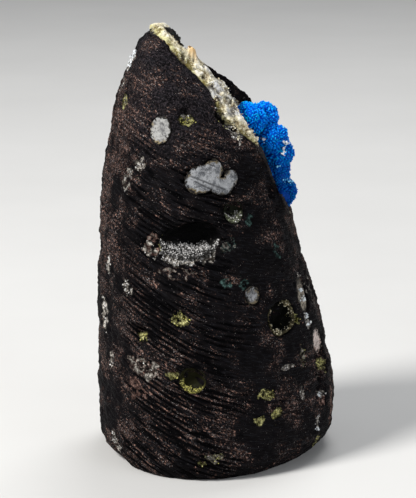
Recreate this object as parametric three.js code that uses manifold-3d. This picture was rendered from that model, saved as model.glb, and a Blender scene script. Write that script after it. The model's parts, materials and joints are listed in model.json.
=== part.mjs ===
// A cavansite specimen: a tapering stump of black vesicular basalt whose right shoulder is broken open
// along a trough-shaped pocket. The pocket is lined with a cream zeolite crust, and a chain of blue
// cavansite balls grows on it. Other gas bubbles are filled flush with zeolite, lined, or left empty.
// Millimetres, +Z up, the sawn front faces -Y. The origin is the middle of the plan, on the ground.
import * as THREE from "three";
import { ImprovedNoise } from "three/addons/math/ImprovedNoise.js";
import { mergeVertices } from "three/addons/utils/BufferGeometryUtils.js";
import Module from "manifold-3d";

const wasm = await Module();
wasm.setup();

// ---- The basalt's form ----
const HEIGHT = 62;
// How far the rock reaches at each height: [z, least x, greatest x, least y, greatest y].
const RIBS = [
  [0, -15.4, 13.6, -15.6, 11.4],
  [1.6, -16.7, 16.2, -16.6, 13.2],
  [6, -17.4, 17.3, -16.9, 14.2],
  [12, -17.4, 17.0, -16.6, 14.4],
  [18, -17.2, 15.7, -16.0, 14.2],
  [24, -17.1, 14.0, -15.3, 13.6],
  [30, -17.0, 12.0, -14.5, 12.8],
  [36, -16.6, 10.4, -13.5, 11.8],
  [42, -16.0, 9.4, -12.3, 10.6],
  [46, -15.4, 8.4, -11.4, 9.7],
  [50, -14.7, 6.2, -10.3, 8.7],
  [54, -13.6, 2.2, -8.8, 7.4],
  [57, -12.5, -1.7, -7.4, 6.2],
  [59.5, -11.3, -4.2, -5.8, 4.8],
  [61.2, -10.1, -5.5, -4.2, 3.5],
  [HEIGHT, -9.0, -6.4, -2.6, 2.0],
];
// The plan of every section, between -1 and 1: a blunt nose at the front and a squarer back.
const PLAN = [
  [-1.0, 0.1], [-0.88, -0.44], [-0.6, -0.8], [-0.14, -1.0], [0.36, -0.84], [0.78, -0.4],
  [1.0, 0.22], [0.86, 0.8], [0.3, 1.0], [-0.4, 0.97], [-0.88, 0.66],
];
const COLUMNS = 30;
const ROW_PITCH = 1.55;
const BROAD_LUMPS = { size: 10, height: 0.7 };
const SMALL_LUMPS = { size: 4.2, height: 0.3 };

// The saw left shallow ledges on the front. They drop to the right by SAW_SLOPE, easing off by SAW_CURVE
// for each millimetre, all the way up to the first height of SAW_FADE and not at all past the last.
const SAW_SLOPE = 0.37;
const SAW_CURVE = 0.01;
const SAW_FADE = [{ z: 30, share: 1 }, { z: 42, share: 0.45 }, { z: 58, share: 0 }];
const SAWN_PLAN = [0.25, 0.8]; // the front is rough below the first share of -Y in PLAN, sawn past the last
const LEDGE_DEPTH = 0.26;
const LEDGE_WEAR = 7; // the depth comes and goes over this distance

// ---- The pocket ----
const CLEARANCE = 0.3;
// Stations from above the peak down to the pocket's lower tip: a point on the front edge and one on the
// back edge, the depth below the line between them, the share of the width that the crust's front wall
// takes, and the crust's thickness on the floor.
const POCKET = [
  { front: [-11.2, -2.4, 63.0], back: [-9.4, 2.6, 63.6], depth: 0.9, wall: 0.5, floor: 0.8 },
  { front: [-8.2, -3.4, 61.1], back: [-6.6, 3.6, 62.0], depth: 1.5, wall: 0.4, floor: 1.2 },
  { front: [-5.5, -5.2, 58.6], back: [-4.6, 4.6, 59.0], depth: 3.0, wall: 0.36, floor: 1.3 },
  { front: [-2.2, -4.8, 55.0], back: [-1.4, 5.4, 55.0], depth: 4.4, wall: 0.32, floor: 1.3 },
  { front: [0.6, -6.9, 51.0], back: [2.4, 5.6, 52.2], depth: 5.0, wall: 0.23, floor: 1.3 },
  { front: [4.6, -5.9, 47.3], back: [6.0, 5.2, 49.4], depth: 4.8, wall: 0.06, floor: 1.1 },
  { front: [7.2, -4.1, 43.2], back: [8.8, 4.8, 44.2], depth: 4.0, wall: 0.08, floor: 0.9 },
  { front: [8.9, -2.6, 39.0], back: [9.9, 3.8, 39.6], depth: 2.8, wall: 0.1, floor: 0.8 },
  { front: [10.2, -1.0, 35.2], back: [10.6, 1.8, 35.6], depth: 1.0, wall: 0.12, floor: 0.7 },
];
const POCKET_STEPS = 12;
const POCKET_SIDES = 16;
const OPEN_HEIGHT = 7.5; // how far the hollow shape carries on outside the rock
const LEAST_REACH = 0.2; // the hollow shape never gets thinner than this
const CRUST_LUMPS = { size: 1.7, height: 0.4 };

// Cavansite balls: [centre x, y, z, radius].
const BALLS = [
  [4.7, -1.2, 48.9, 2.3], [6.5, 1.2, 48.6, 2.2], [7.7, -0.4, 45.8, 2.3], [8.5, 0.4, 43.4, 2.4],
  [8.5, -0.2, 41.0, 2.0], [9.3, 0.1, 37.9, 2.2],
];
// Shares of a ball's radius that its crystals' tips and the valleys between them stand at, and the share
// of its corners that are tips.
const CRYSTAL_TIPS = [1, 1.14];
const CRYSTAL_VALLEYS = 0.86;
const TIP_SHARE = 0.4;
const BALL_DETAIL = 2;

// ---- Other vesicles ----
// Azimuth is in degrees round the rock's leaning middle: 0 faces -Y and 90 faces +X. w and h are half the
// mouth's width and height, depth goes into the rock, and turn rolls the mouth, in degrees. wall is the
// lining's thickness low in the bubble; it thins to nothing upwards. square flattens a bubble's sides.
const AXIS_LEAN = -0.14; // the middle moves this much in x for each millimetre of height
const WIDE_BUBBLE = 4; // a half width past which a bubble gets finer faces
const FILLED = {
  filling_lobed: [
    { azimuth: 19, z: 42.3, w: 2.5, h: 1.8, depth: 1.6, turn: 12 },
    { azimuth: 27, z: 43.5, w: 1.3, h: 1.4, depth: 1.3, turn: 0 },
    { azimuth: 30, z: 41.2, w: 1.8, h: 1.1, depth: 1.2, turn: -10 },
    { azimuth: 38, z: 42.1, w: 1.0, h: 1.0, depth: 1.0, turn: 0 },
  ],
  filling_oval: [{ azimuth: -6, z: 48.8, w: 1.25, h: 1.75, depth: 1.4, turn: -8 }],
  filling_round: [{ azimuth: 37, z: 25.8, w: 1.1, h: 1.2, depth: 1.1, turn: 0 }],
  filling_right_high: [{ azimuth: 78, z: 24.0, w: 1.0, h: 2.6, depth: 1.2, turn: -6 }],
  filling_right_low: [{ azimuth: 82, z: 16.6, w: 1.4, h: 1.8, depth: 1.2, turn: 10 }],
  filling_back_high: [{ azimuth: 172, z: 40.5, w: 1.7, h: 1.3, depth: 1.3, turn: 20 }],
  filling_back_low: [{ azimuth: -150, z: 14.0, w: 2.1, h: 1.5, depth: 1.5, turn: -15 }],
};
const LINED = {
  lining_large_vug: { azimuth: 5, z: 33.9, w: 4.6, h: 2.5, depth: 3.2, turn: 8, wall: 1.3 },
  lining_square_vug: { azimuth: 55, z: 21.8, w: 2.9, h: 2.2, depth: 2.6, turn: 12, wall: 0.7, square: 0.6 },
  lining_green_vug: { azimuth: -5, z: 14.8, w: 2.0, h: 2.0, depth: 2.0, turn: 0, wall: 0.8 },
  lining_pale_vug: { azimuth: 36, z: 37.5, w: 1.6, h: 1.7, depth: 1.8, turn: 0, wall: 0.8 },
  lining_back_vug: { azimuth: 158, z: 25.0, w: 2.8, h: 2.1, depth: 2.4, turn: -20, wall: 0.8 },
};
const EMPTY = [
  { azimuth: 16, z: 50.6, w: 1.0, h: 1.0, depth: 1.2, turn: 0 },
  { azimuth: -19, z: 33.5, w: 1.4, h: 1.3, depth: 0.9, turn: 0 },
  { azimuth: -14, z: 15.5, w: 1.0, h: 0.9, depth: 0.9, turn: 0 },
  { azimuth: -31, z: 20.7, w: 0.9, h: 1.1, depth: 1.1, turn: 0 },
  { azimuth: 71, z: 9.5, w: 1.3, h: 2.0, depth: 1.3, turn: -10 },
  { azimuth: -95, z: 30.0, w: 1.3, h: 1.7, depth: 1.2, turn: 10 },
  { azimuth: 125, z: 11.5, w: 1.6, h: 1.3, depth: 1.4, turn: 0 },
  { azimuth: -125, z: 38.0, w: 1.2, h: 1.2, depth: 1.1, turn: 0 },
];

const noise = new ImprovedNoise();
const { lerp, smoothstep, degToRad } = THREE.MathUtils;
const UP = new THREE.Vector3(0, 0, 1);

function lumps(point, { size, height }) {
  return height * noise.noise(point.x / size, point.y / size, point.z / size);
}

// A repeatable stream of numbers between 0 and 1.
function numberStream(seed) {
  let state = seed;
  return () => {
    state = (state * 1664525 + 1013904223) % 2 ** 32;
    return state / 2 ** 32;
  };
}

// ---- Solids ----
const WELD = 1e-4;

function toSolid(geometry) {
  const bare = new THREE.BufferGeometry().setAttribute("position", geometry.getAttribute("position"));
  if (geometry.index) bare.setIndex(geometry.index);
  const welded = mergeVertices(bare, WELD);
  return new wasm.Manifold(new wasm.Mesh({
    numProp: 3,
    vertProperties: welded.getAttribute("position").array,
    triVerts: new Uint32Array(welded.index.array),
  }));
}

function toGeometry(solid) {
  const { vertProperties, triVerts } = solid.getMesh();
  return new THREE.BufferGeometry()
    .setAttribute("position", new THREE.BufferAttribute(vertProperties, 3))
    .setIndex(new THREE.BufferAttribute(triVerts, 1));
}

const join = (solids) => solids.reduce((all, solid) => all.add(solid));

// A closed skin over rings of equal length, each running anticlockwise seen from the last ring.
function loft(rings) {
  const sides = rings[0].length;
  const points = rings.flat();
  const at = (ring, side) => ring * sides + (side % sides);
  const triangles = [];
  for (let ring = 0; ring + 1 < rings.length; ring++) {
    for (let side = 0; side < sides; side++) {
      const [a, b] = [at(ring, side), at(ring, side + 1)];
      const [c, d] = [at(ring + 1, side + 1), at(ring + 1, side)];
      triangles.push(a, b, c, a, c, d);
    }
  }
  for (const ring of [0, rings.length - 1]) {
    const middle = new THREE.Vector3();
    for (const point of rings[ring]) middle.addScaledVector(point, 1 / sides);
    points.push(middle);
    for (let side = 0; side < sides; side++) {
      const edge = [at(ring, side), at(ring, side + 1)];
      triangles.push(...(ring ? edge : edge.reverse()), points.length - 1);
    }
  }
  return toSolid(new THREE.BufferGeometry().setFromPoints(points).setIndex(triangles));
}

// ---- Basalt ----
const ribHeights = RIBS.map((rib) => rib[0]);
const ribSpline = new THREE.CubicInterpolant(ribHeights, RIBS.flatMap((rib) => rib.slice(1)), 4);
const planCurve = new THREE.CatmullRomCurve3(PLAN.map(([x, y]) => new THREE.Vector3(x, y, 0)), true);

function sawShare(z) {
  const upper = SAW_FADE.findIndex((stop) => z < stop.z);
  if (upper === 0) return SAW_FADE[0].share;
  if (upper < 0) return SAW_FADE.at(-1).share;
  const [from, to] = [SAW_FADE[upper - 1], SAW_FADE[upper]];
  return lerp(from.share, to.share, (z - from.z) / (to.z - from.z));
}

function sectionPoint(outline, z) {
  const [xLow, xHigh, yLow, yHigh] = ribSpline.evaluate(THREE.MathUtils.clamp(z, 0, HEIGHT));
  return new THREE.Vector3(
    (xLow + xHigh + outline.x * (xHigh - xLow)) / 2,
    (yLow + yHigh + outline.y * (yHigh - yLow)) / 2,
    z,
  );
}

function rockPoint(share, level, ledge) {
  const outline = planCurve.getPointAt(share);
  const x = sectionPoint(outline, level).x;
  const point = sectionPoint(outline, level - sawShare(level) * (SAW_SLOPE * x - SAW_CURVE * x * x));
  const sawn = smoothstep(-outline.y, ...SAWN_PLAN);
  const worn = 1 + noise.noise(point.x / LEDGE_WEAR, point.z / LEDGE_WEAR, 0);
  const rough = lumps(point, BROAD_LUMPS) + lumps(point, SMALL_LUMPS);
  const relief = rough * (1 - sawn / 2) - (ledge ? LEDGE_DEPTH * sawn * worn : 0);
  return point.addScaledVector(outline.normalize(), relief);
}

function rockSolid() {
  const rings = [];
  const widest = Math.max(...RIBS.map((rib) => rib[2]));
  const lowest = -SAW_SLOPE * widest; // the lowest ring tilts up to the ground at the left
  const rows = Math.round((HEIGHT - lowest) / ROW_PITCH);
  for (let row = 0; row <= rows; row++) {
    const ring = [];
    for (let column = 0; column < COLUMNS; column++) {
      ring.push(rockPoint(column / COLUMNS, lerp(lowest, HEIGHT, row / rows), row % 2 === 1));
    }
    rings.push(ring);
  }
  const ground = new THREE.BoxGeometry(2 * HEIGHT, 2 * HEIGHT, HEIGHT).translate(0, 0, -HEIGHT / 2);
  return loft(rings).subtract(toSolid(ground));
}

// ---- Pocket and crust ----
// A curve through one point of every station, read by the share of the way down the pocket.
function stationCurve(pick) {
  const curve = new THREE.CatmullRomCurve3(POCKET.map((station) => new THREE.Vector3(...pick(station))));
  return (share) => curve.getPoint(share);
}
const frontEdge = stationCurve((station) => station.front);
const backEdge = stationCurve((station) => station.back);
const stationSizes = stationCurve(({ depth, wall, floor }) => [depth, wall, floor]);

// The pocket drawn in by `inset` all round. A lined one is what the crust leaves open.
function hollow(inset, lined) {
  const rings = [];
  for (let step = 0; step <= POCKET_STEPS; step++) {
    const share = step / POCKET_STEPS;
    const [depth, wall, floor] = stationSizes(share);
    const back = backEdge(share);
    const front = frontEdge(share).lerp(back, lined ? wall : 0);
    const middle = front.clone().lerp(back, 0.5);
    const across = back.clone().sub(front);
    const half = across.length() / 2 - inset;
    const out = frontEdge(Math.min(1, share + 1 / POCKET_STEPS))
      .sub(frontEdge(Math.max(0, share - 1 / POCKET_STEPS)))
      .cross(across)
      .normalize();
    across.normalize();
    const reach = Math.max(LEAST_REACH, (lined ? depth - floor : depth) - inset);
    const ring = [];
    for (let side = 0; side < POCKET_SIDES; side++) {
      const angle = (2 * Math.PI * side) / POCKET_SIDES;
      const below = Math.sin(angle) < 0;
      const point = middle.clone().addScaledVector(across, half * Math.cos(angle));
      point.addScaledVector(out, Math.sin(angle) * (below ? reach : OPEN_HEIGHT));
      ring.push(point.addScaledVector(out, lined && below ? lumps(point, CRUST_LUMPS) : 0));
    }
    rings.push(ring);
  }
  return loft(rings);
}

// ---- Vesicles ----
const rockBody = rockSolid();
const rockMesh = new THREE.Mesh(toGeometry(rockBody));
const raycaster = new THREE.Raycaster();

function onSurface(azimuth, z) {
  const angle = degToRad(azimuth);
  const outward = new THREE.Vector3(Math.sin(angle), -Math.cos(angle), 0);
  const start = new THREE.Vector3(AXIS_LEAN * z, 0, z).addScaledVector(outward, HEIGHT);
  raycaster.set(start, outward.clone().negate());
  return { point: raycaster.intersectObject(rockMesh)[0].point, outward };
}

// An ellipsoid sunk in the rock's skin, grown by `grow` and moved by `raise` up its mouth.
function bubble({ azimuth, z, w, h, depth, turn, square = 1 }, grow = 0, raise = 0) {
  const { point, outward } = onSurface(azimuth, z);
  const side = new THREE.Vector3().crossVectors(UP, outward);
  const geometry = new THREE.IcosahedronGeometry(1, w > WIDE_BUBBLE ? 2 : 1);
  const place = geometry.getAttribute("position");
  const blunt = (value) => Math.sign(value) * Math.abs(value) ** square;
  for (let i = 0; i < place.count; i++) {
    place.setXYZ(i, blunt(place.getX(i)), blunt(place.getY(i)), place.getZ(i));
  }
  geometry.scale(w + grow, h + grow, depth + grow);
  geometry.translate(0, raise, raise / 2);
  geometry.rotateZ(degToRad(turn));
  geometry.applyMatrix4(new THREE.Matrix4().makeBasis(side, UP, outward).setPosition(point));
  return toSolid(geometry);
}

// ---- Cavansite ----
// A ball of flat faces, with some of its corners drawn out to the tips of crystals.
function crystalBall([x, y, z, radius], seed) {
  const random = numberStream(seed);
  const sphere = new THREE.IcosahedronGeometry(radius, BALL_DETAIL);
  const ball = mergeVertices(sphere.deleteAttribute("normal").deleteAttribute("uv"));
  const place = ball.getAttribute("position");
  for (let i = 0; i < place.count; i++) {
    const reach = random() < TIP_SHARE ? lerp(...CRYSTAL_TIPS, random()) : CRYSTAL_VALLEYS;
    place.setXYZ(i, place.getX(i) * reach, place.getY(i) * reach, place.getZ(i) * reach);
  }
  return toSolid(ball.translate(x, y, z));
}

// ---- Assembly ----
const pocket = hollow(0, false);
const fillings = Object.entries(FILLED).map(([name, lobes]) => ({
  name,
  seat: join(lobes.map((lobe) => bubble(lobe, CLEARANCE))),
  solid: join(lobes.map((lobe) => bubble(lobe))).intersect(rockBody),
}));
const linings = Object.entries(LINED).map(([name, vug]) => ({
  name,
  seat: bubble(vug),
  solid: bubble(vug, -CLEARANCE).subtract(bubble(vug, -vug.wall, vug.wall)).intersect(rockBody),
}));
const holes = [pocket, ...EMPTY.map((pit) => bubble(pit)), ...[...fillings, ...linings].map((v) => v.seat)];

const basalt = holes.reduce((rock, hole) => rock.subtract(hole), rockBody);
const crust = hollow(CLEARANCE, false).intersect(rockBody).subtract(hollow(CLEARANCE, true));
const room = hollow(2 * CLEARANCE, true).intersect(hollow(CLEARANCE, false));
const cluster = join(BALLS.map(crystalBall)).intersect(room);

const materials = {
  basalt: new THREE.MeshStandardMaterial({ color: 0x26211f, roughness: 0.85, metalness: 0 }),
  crust: new THREE.MeshStandardMaterial({ color: 0xd9cfa6, roughness: 0.7, metalness: 0 }),
  zeolite: new THREE.MeshStandardMaterial({ color: 0xc9c8c6, roughness: 0.55, metalness: 0 }),
  lining: new THREE.MeshStandardMaterial({ color: 0x9a9a52, roughness: 0.6, metalness: 0 }),
  cavansite: new THREE.MeshStandardMaterial({ color: 0x0a5fd0, roughness: 0.35, metalness: 0 }),
};

const specimen = new THREE.Group();
function addPiece(name, solid, material) {
  const mesh = new THREE.Mesh(toGeometry(solid), material);
  mesh.name = name;
  specimen.add(mesh);
}
addPiece("basalt_matrix", basalt, materials.basalt);
addPiece("zeolite_crust", crust, materials.crust);
addPiece("cavansite_cluster", cluster, materials.cavansite);
for (const { name, solid } of fillings) addPiece(name, solid, materials.zeolite);
for (const { name, solid } of linings) addPiece(name, solid, materials.lining);

// The origin goes to the middle of the whole specimen's plan.
const middle = new THREE.Box3().setFromObject(specimen).getCenter(new THREE.Vector3());
specimen.position.set(-middle.x, -middle.y, 0);

export default specimen;
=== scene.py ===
# %% [markdown]
# # A cavansite specimen on basalt
# The real object is a stump of black basalt as tall as a thumb. A saw has cut its front, and its right
# shoulder is broken open along a pocket. Cream zeolite lines the pocket, and balls of blue cavansite
# crystals grow on it. We load the solids of the specimen first, and then give each of them the fine
# surface that such a stone has.

# %% Load the frame
import json
import math
from collections import namedtuple

import bmesh
import bpy
import numpy as np
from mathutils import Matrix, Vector, noise
from mathutils.bvhtree import BVHTree


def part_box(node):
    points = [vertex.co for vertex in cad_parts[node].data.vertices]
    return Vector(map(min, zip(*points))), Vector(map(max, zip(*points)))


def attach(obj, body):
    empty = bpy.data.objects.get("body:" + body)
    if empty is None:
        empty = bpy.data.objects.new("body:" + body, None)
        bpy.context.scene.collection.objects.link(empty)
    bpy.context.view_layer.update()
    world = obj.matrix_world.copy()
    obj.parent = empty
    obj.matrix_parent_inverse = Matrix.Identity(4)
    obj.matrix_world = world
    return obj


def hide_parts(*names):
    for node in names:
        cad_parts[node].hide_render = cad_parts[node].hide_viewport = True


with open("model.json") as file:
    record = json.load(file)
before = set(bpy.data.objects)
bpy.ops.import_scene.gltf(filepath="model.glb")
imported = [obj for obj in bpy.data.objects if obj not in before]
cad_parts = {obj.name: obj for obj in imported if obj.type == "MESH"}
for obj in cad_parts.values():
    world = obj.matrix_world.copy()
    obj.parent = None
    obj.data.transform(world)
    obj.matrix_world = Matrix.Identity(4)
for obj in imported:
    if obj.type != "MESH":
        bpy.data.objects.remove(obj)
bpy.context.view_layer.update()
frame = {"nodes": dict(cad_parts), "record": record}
MM = 0.001


# %% [markdown]
# ## Working in millimetres
# The frame is in metres, and a stone full of half-millimetre crystals is easier to think about in
# millimetres. So every mesh is shaped in millimetres and scaled down once, when it becomes an object.
# The copies of the solids are loose triangles, so their doubles are merged before anything else.

# %% Mesh helpers
MERGE_WITHIN = 0.001
scene = bpy.context.scene


def copy_in_mm(*names):
    """The named solids as one bmesh in millimetres, with merged corners."""
    bm = bmesh.new()
    for name in names:
        bm.from_mesh(frame["nodes"][name].data)
    bmesh.ops.scale(bm, vec=(1 / MM,) * 3, verts=bm.verts)
    bmesh.ops.remove_doubles(bm, verts=bm.verts, dist=MERGE_WITHIN)
    return bm


def even_quads(bm, size, stretch=1.0):
    """A new bmesh over the same form, with quads `size` wide, and finer upwards by `stretch`."""
    bmesh.ops.scale(bm, vec=(1, 1, stretch), verts=bm.verts)
    mesh = bpy.data.meshes.new("draft")
    bm.to_mesh(mesh)
    bm.free()
    draft = bpy.data.objects.new("draft", mesh)
    scene.collection.objects.link(draft)
    remesh = draft.modifiers.new("Even quads", "REMESH")
    remesh.mode = "VOXEL"
    remesh.voxel_size = size
    shaped = draft.evaluated_get(bpy.context.evaluated_depsgraph_get())
    even = bmesh.new()
    even.from_mesh(shaped.to_mesh())
    bpy.data.objects.remove(draft)
    bpy.data.meshes.remove(mesh)
    bmesh.ops.scale(even, vec=(1, 1, 1 / stretch), verts=even.verts)
    return even


# %% Helpers that move corners
def relax(bm, rounds):
    """Evens the mesh out. In each round a corner moves halfway to the middle of its neighbours."""
    for _ in range(rounds):
        bmesh.ops.smooth_vert(
            bm, verts=bm.verts, factor=0.5, use_axis_x=True, use_axis_y=True, use_axis_z=True
        )


def places(bm):
    """The corners' places as an array with a row for each."""
    return np.array([v.co for v in bm.verts])


def put_back(bm, points):
    for vert, point in zip(bm.verts, points):
        vert.co = point


def facing(bm):
    bm.normal_update()
    return np.array([v.normal for v in bm.verts])


# %% Helpers for finished pieces
def as_piece(bm, name, material, stands_for=(), masks=None, smooth=True):
    """The bmesh as a finished object in metres, riding on the specimen's one body."""
    mesh = bpy.data.meshes.new(name)
    bmesh.ops.scale(bm, vec=(MM,) * 3, verts=bm.verts)
    bm.to_mesh(mesh)
    bm.free()
    for mask, values in (masks or {}).items():
        layer = mesh.attributes.new(mask, "FLOAT", "POINT")
        layer.data.foreach_set("value", np.asarray(values, np.float32))
    if smooth:
        mesh.shade_smooth()
    else:
        mesh.shade_flat()
    mesh.materials.append(material)
    piece = bpy.data.objects.new(name, mesh)
    scene.collection.objects.link(piece)
    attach(piece, "root")
    if stands_for:
        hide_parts(*stands_for)
    print(name, "faces:", len(mesh.polygons))


def crystal_piece(name, material, crystals, stands_for=()):
    """Crystals and their masks as one object with flat, sharp faces."""
    bm, masks = crystals
    as_piece(bm, name, material, stands_for, masks, smooth=False)


# %% [markdown]
# ## Noise as a sculpting tool
# Broken rock, grown crust and worn edges all come from smooth random fields. `cloud` gives one number
# from about -1 to 1 for each point, in lumps of the size we ask for, and `seed` picks another field.

# %% Noise helpers
SEED_STEP = Vector((13.7, 7.1, 3.3))


def cloud(points, size, seed=0):
    """A smooth random number for each point. size is one number, or the lumps' length along x, y and z."""
    shift = SEED_STEP * seed
    if np.ndim(size) == 0:
        size = (size,) * 3
    return np.array([noise.noise(Vector(p) + shift) for p in np.asarray(points) / np.asarray(size)])


def ramp(values, start, end):
    """0 before start and 1 after end, with a soft step between them. start may be the larger one."""
    share = np.clip((np.asarray(values, float) - start) / (end - start), 0, 1)
    return share * share * (3 - 2 * share)


# %% [markdown]
# ## Camera, floor and light
# A small stone is shown from a little above, with a long lens, so that its sides stay upright. The stage
# is a plain pale floor. One large soft light high on the left draws the saw marks as thin shadows, a
# weaker one fills from the right, and a pale world keeps the black rock readable.

# %% Camera
LENS = 151
SENSOR = 36
CAMERA_DISTANCE = 300 * MM
CAMERA_HEIGHT_ANGLE = math.radians(14)
NEAREST_SEEN = 10 * MM
LOOK_AT = Vector((-1.25, 1.04, 29.6)) * MM

camera = bpy.data.objects.new("camera", bpy.data.cameras.new("camera"))
scene.collection.objects.link(camera)
camera.data.lens = LENS
camera.data.sensor_fit = "VERTICAL"
camera.data.sensor_height = SENSOR
camera.data.clip_start = NEAREST_SEEN
towards = Vector((0, -math.cos(CAMERA_HEIGHT_ANGLE), math.sin(CAMERA_HEIGHT_ANGLE)))
upwards = Vector((0, math.sin(CAMERA_HEIGHT_ANGLE), math.cos(CAMERA_HEIGHT_ANGLE)))
camera.location = LOOK_AT + towards * CAMERA_DISTANCE
camera.rotation_euler = towards.to_track_quat("Z", "Y").to_euler()
scene.camera = camera
print("camera in mm:", tuple(round(v / MM) for v in camera.location))

# %% [markdown]
# ## Drawing in the front view
# Some edges are easiest to place as they show from the front. `front_view` says where a point shows, and
# `seen_on` goes the other way and finds what shows at a spot.


# %% Front view helpers
def front_view(points):
    """How far across and up each point shows from the front, in mm, with 0, 0 below and above LOOK_AT."""
    away = np.asarray(points) - np.array(camera.location) / MM
    scale = CAMERA_DISTANCE / MM / (away @ -np.array(towards))
    return away[:, 0] * scale + LOOK_AT.x / MM, (away @ np.array(upwards)) * scale


def seen_on(tree, across, up):
    """The place on a surface that shows at that spot from the front, or None where it shows nothing."""
    way = Vector((across - LOOK_AT.x / MM, 0, 0)) + upwards * up - towards * (CAMERA_DISTANCE / MM)
    return tree.ray_cast(camera.location / MM, way.normalized())[0]


# %% Lights and world
WORLD_COLOUR = (0.93, 0.95, 1.0, 1)
WORLD_STRENGTH = 0.22
# name, place and size in metres, power in watts and tint
LIGHTS = [
    ("key", (-0.34, -0.22, 0.42), 0.15, 3.8, (1.0, 0.98, 0.95)),
    ("fill", (0.42, -0.30, 0.22), 0.40, 0.75, (0.95, 0.97, 1.0)),
    ("top", (0.10, 0.25, 0.50), 0.30, 1.4, (1.0, 1.0, 1.0)),
]
scene.view_settings.view_transform = "Standard"
world = bpy.data.worlds.new("studio")
world.use_nodes = True
background = world.node_tree.nodes["Background"].inputs
background["Color"].default_value = WORLD_COLOUR
background["Strength"].default_value = WORLD_STRENGTH
scene.world = world
for name, place, size, power, tint in LIGHTS:
    light = bpy.data.objects.new(name, bpy.data.lights.new(name, "AREA"))
    light.data.shape = "DISK"
    light.data.size = size
    light.data.energy = power
    light.data.color = tint
    light.location = place
    light.rotation_euler = (Vector(place) - LOOK_AT).to_track_quat("Z", "Y").to_euler()
    scene.collection.objects.link(light)
print("lights:", len(LIGHTS))

# %% [markdown]
# ## Building materials from nodes
# `Painter` is a thin wrapper round a material's node tree: `add` makes a node, sets its options and plugs
# sockets or plain values into its inputs. Patterns read Object coordinates, turned into millimetres.

# %% Material helpers
class Painter:
    def __init__(self, name, tree=None):
        self.material = None
        if tree is None:
            self.material = bpy.data.materials.new(name)
            self.material.use_nodes = True
            tree = self.material.node_tree
            self.shader = tree.nodes["Principled BSDF"]
        self.tree = tree

    def plug(self, socket, value):
        if isinstance(value, bpy.types.NodeSocket):
            self.tree.links.new(value, socket)
        elif socket.type == "RGBA" and len(value) == 3:
            socket.default_value = (*value, 1)
        else:
            socket.default_value = value

    def add(self, kind, inputs=None, **options):
        node = self.tree.nodes.new("ShaderNode" + kind)
        for option, value in options.items():
            setattr(node, option, value)
        for name, value in (inputs or {}).items():
            self.plug(node.inputs[name], value)
        return node

    def finish(self, **inputs):
        for name, value in inputs.items():
            self.plug(self.shader.inputs[name.replace("_", " ")], value)
        return self.material

    def math(self, operation, a, b):
        return self.add("Math", {0: a, 1: b}, operation=operation).outputs[0]

    def plus(self, a, b):
        return self.math("ADD", a, b)

    def less(self, a, b):
        return self.math("SUBTRACT", a, b)

    def times(self, a, b):
        return self.math("MULTIPLY", a, b)

    def remap(self, value, low, high, to_low=0.0, to_high=1.0):
        inputs = {"Value": value, "From Min": low, "From Max": high, "To Min": to_low, "To Max": to_high}
        return self.add("MapRange", inputs, interpolation_type="SMOOTHSTEP").outputs[0]

    def mix(self, factor, a, b):
        return self.add("Mix", {0: factor, 6: a, 7: b}, data_type="RGBA").outputs[2]

    def attribute(self, name):
        return self.add("Attribute", attribute_name=name).outputs["Fac"]

    def in_mm(self):
        place = self.add("TexCoord").outputs["Object"]
        return self.add("Mapping", {"Vector": place, "Scale": (1 / MM,) * 3}).outputs[0]

    def shift(self, where, by):
        """The place moved aside, for a second pattern that doesn't lie on the first one."""
        return self.add("Mapping", {"Vector": where, "Location": by}).outputs[0]

    def noise(self, where, size, detail=3.0, rough=0.55):
        inputs = {"Vector": where, "Scale": 1 / size, "Detail": detail, "Roughness": rough}
        return self.add("TexNoise", inputs).outputs["Fac"]

    def bump(self, height, distance, strength=1.0, under=None):
        inputs = {"Height": height, "Distance": distance * MM, "Strength": strength}
        if under:
            inputs["Normal"] = under
        return self.add("Bump", inputs).outputs[0]


# %% Floor
FLOOR_REACH = 2.0
PAPER_CLOUDS = 40.0
floor_look = Painter("studio_floor")
paper = floor_look.noise(floor_look.in_mm(), PAPER_CLOUDS)
floor_colour = floor_look.mix(paper, (0.62, 0.62, 0.61), (0.68, 0.68, 0.67))
floor_look.finish(Base_Color=floor_colour, Roughness=0.9)
bm = bmesh.new()
bmesh.ops.create_grid(bm, x_segments=8, y_segments=8, size=FLOOR_REACH)
floor_mesh = bpy.data.meshes.new("studio_floor")
bm.to_mesh(floor_mesh)
bm.free()
floor_mesh.materials.append(floor_look.material)
floor = bpy.data.objects.new("studio_floor", floor_mesh)
scene.collection.objects.link(floor)
print("floor in metres:", 2 * FLOOR_REACH)

# %% [markdown]
# ## Basalt: following the saw
# The saw left lines that fall to the right and flatten out. They are level lines of a bent height: we call
# it the saw's level. If the rock is first moved so that its z is that level, then a remesh with low, wide
# cells lays rows of quads exactly along the saw lines, and the marks can be carved with few faces.

# %% The saw's level
SAW_SLOPE = 0.37
SAW_CURVE = 0.01
SAW_FADE_HEIGHTS = (42, 54, 62)
SAW_FADE_SHARES = (1.0, 0.75, 0.45)
SAW_PITCH = 0.78
LEVEL_ROUNDS = 12


def saw_drop(x, level):
    """How far the saw line of that level has fallen at x. High up the lines fall less."""
    return np.interp(level, SAW_FADE_HEIGHTS, SAW_FADE_SHARES) * (SAW_SLOPE * x - SAW_CURVE * x * x)


def saw_level(points):
    """The level of the saw line through each point. Each round brings the guess closer."""
    x, z = points[:, 0], points[:, 2]
    level = z.copy()
    for _ in range(LEVEL_ROUNDS):
        level = z + saw_drop(x, level)
    return level


print("fall of a saw line over the front in mm:", round(float(saw_drop(10, 30) - saw_drop(-10, 30)), 1))

# %% [markdown]
# ## Basalt: from facets to stone
# The solid's facets are about three millimetres wide. We lay even quads over it and relax them until the
# facets are gone, but hold the corners still near the pocket and the filled bubbles, whose edges are real.

# %% Relax the skin
COARSE_QUAD = 0.445
ROW_STRETCH = 2.5
FACET_ROUNDS = 28
ROW_ROUNDS = 2
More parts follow.
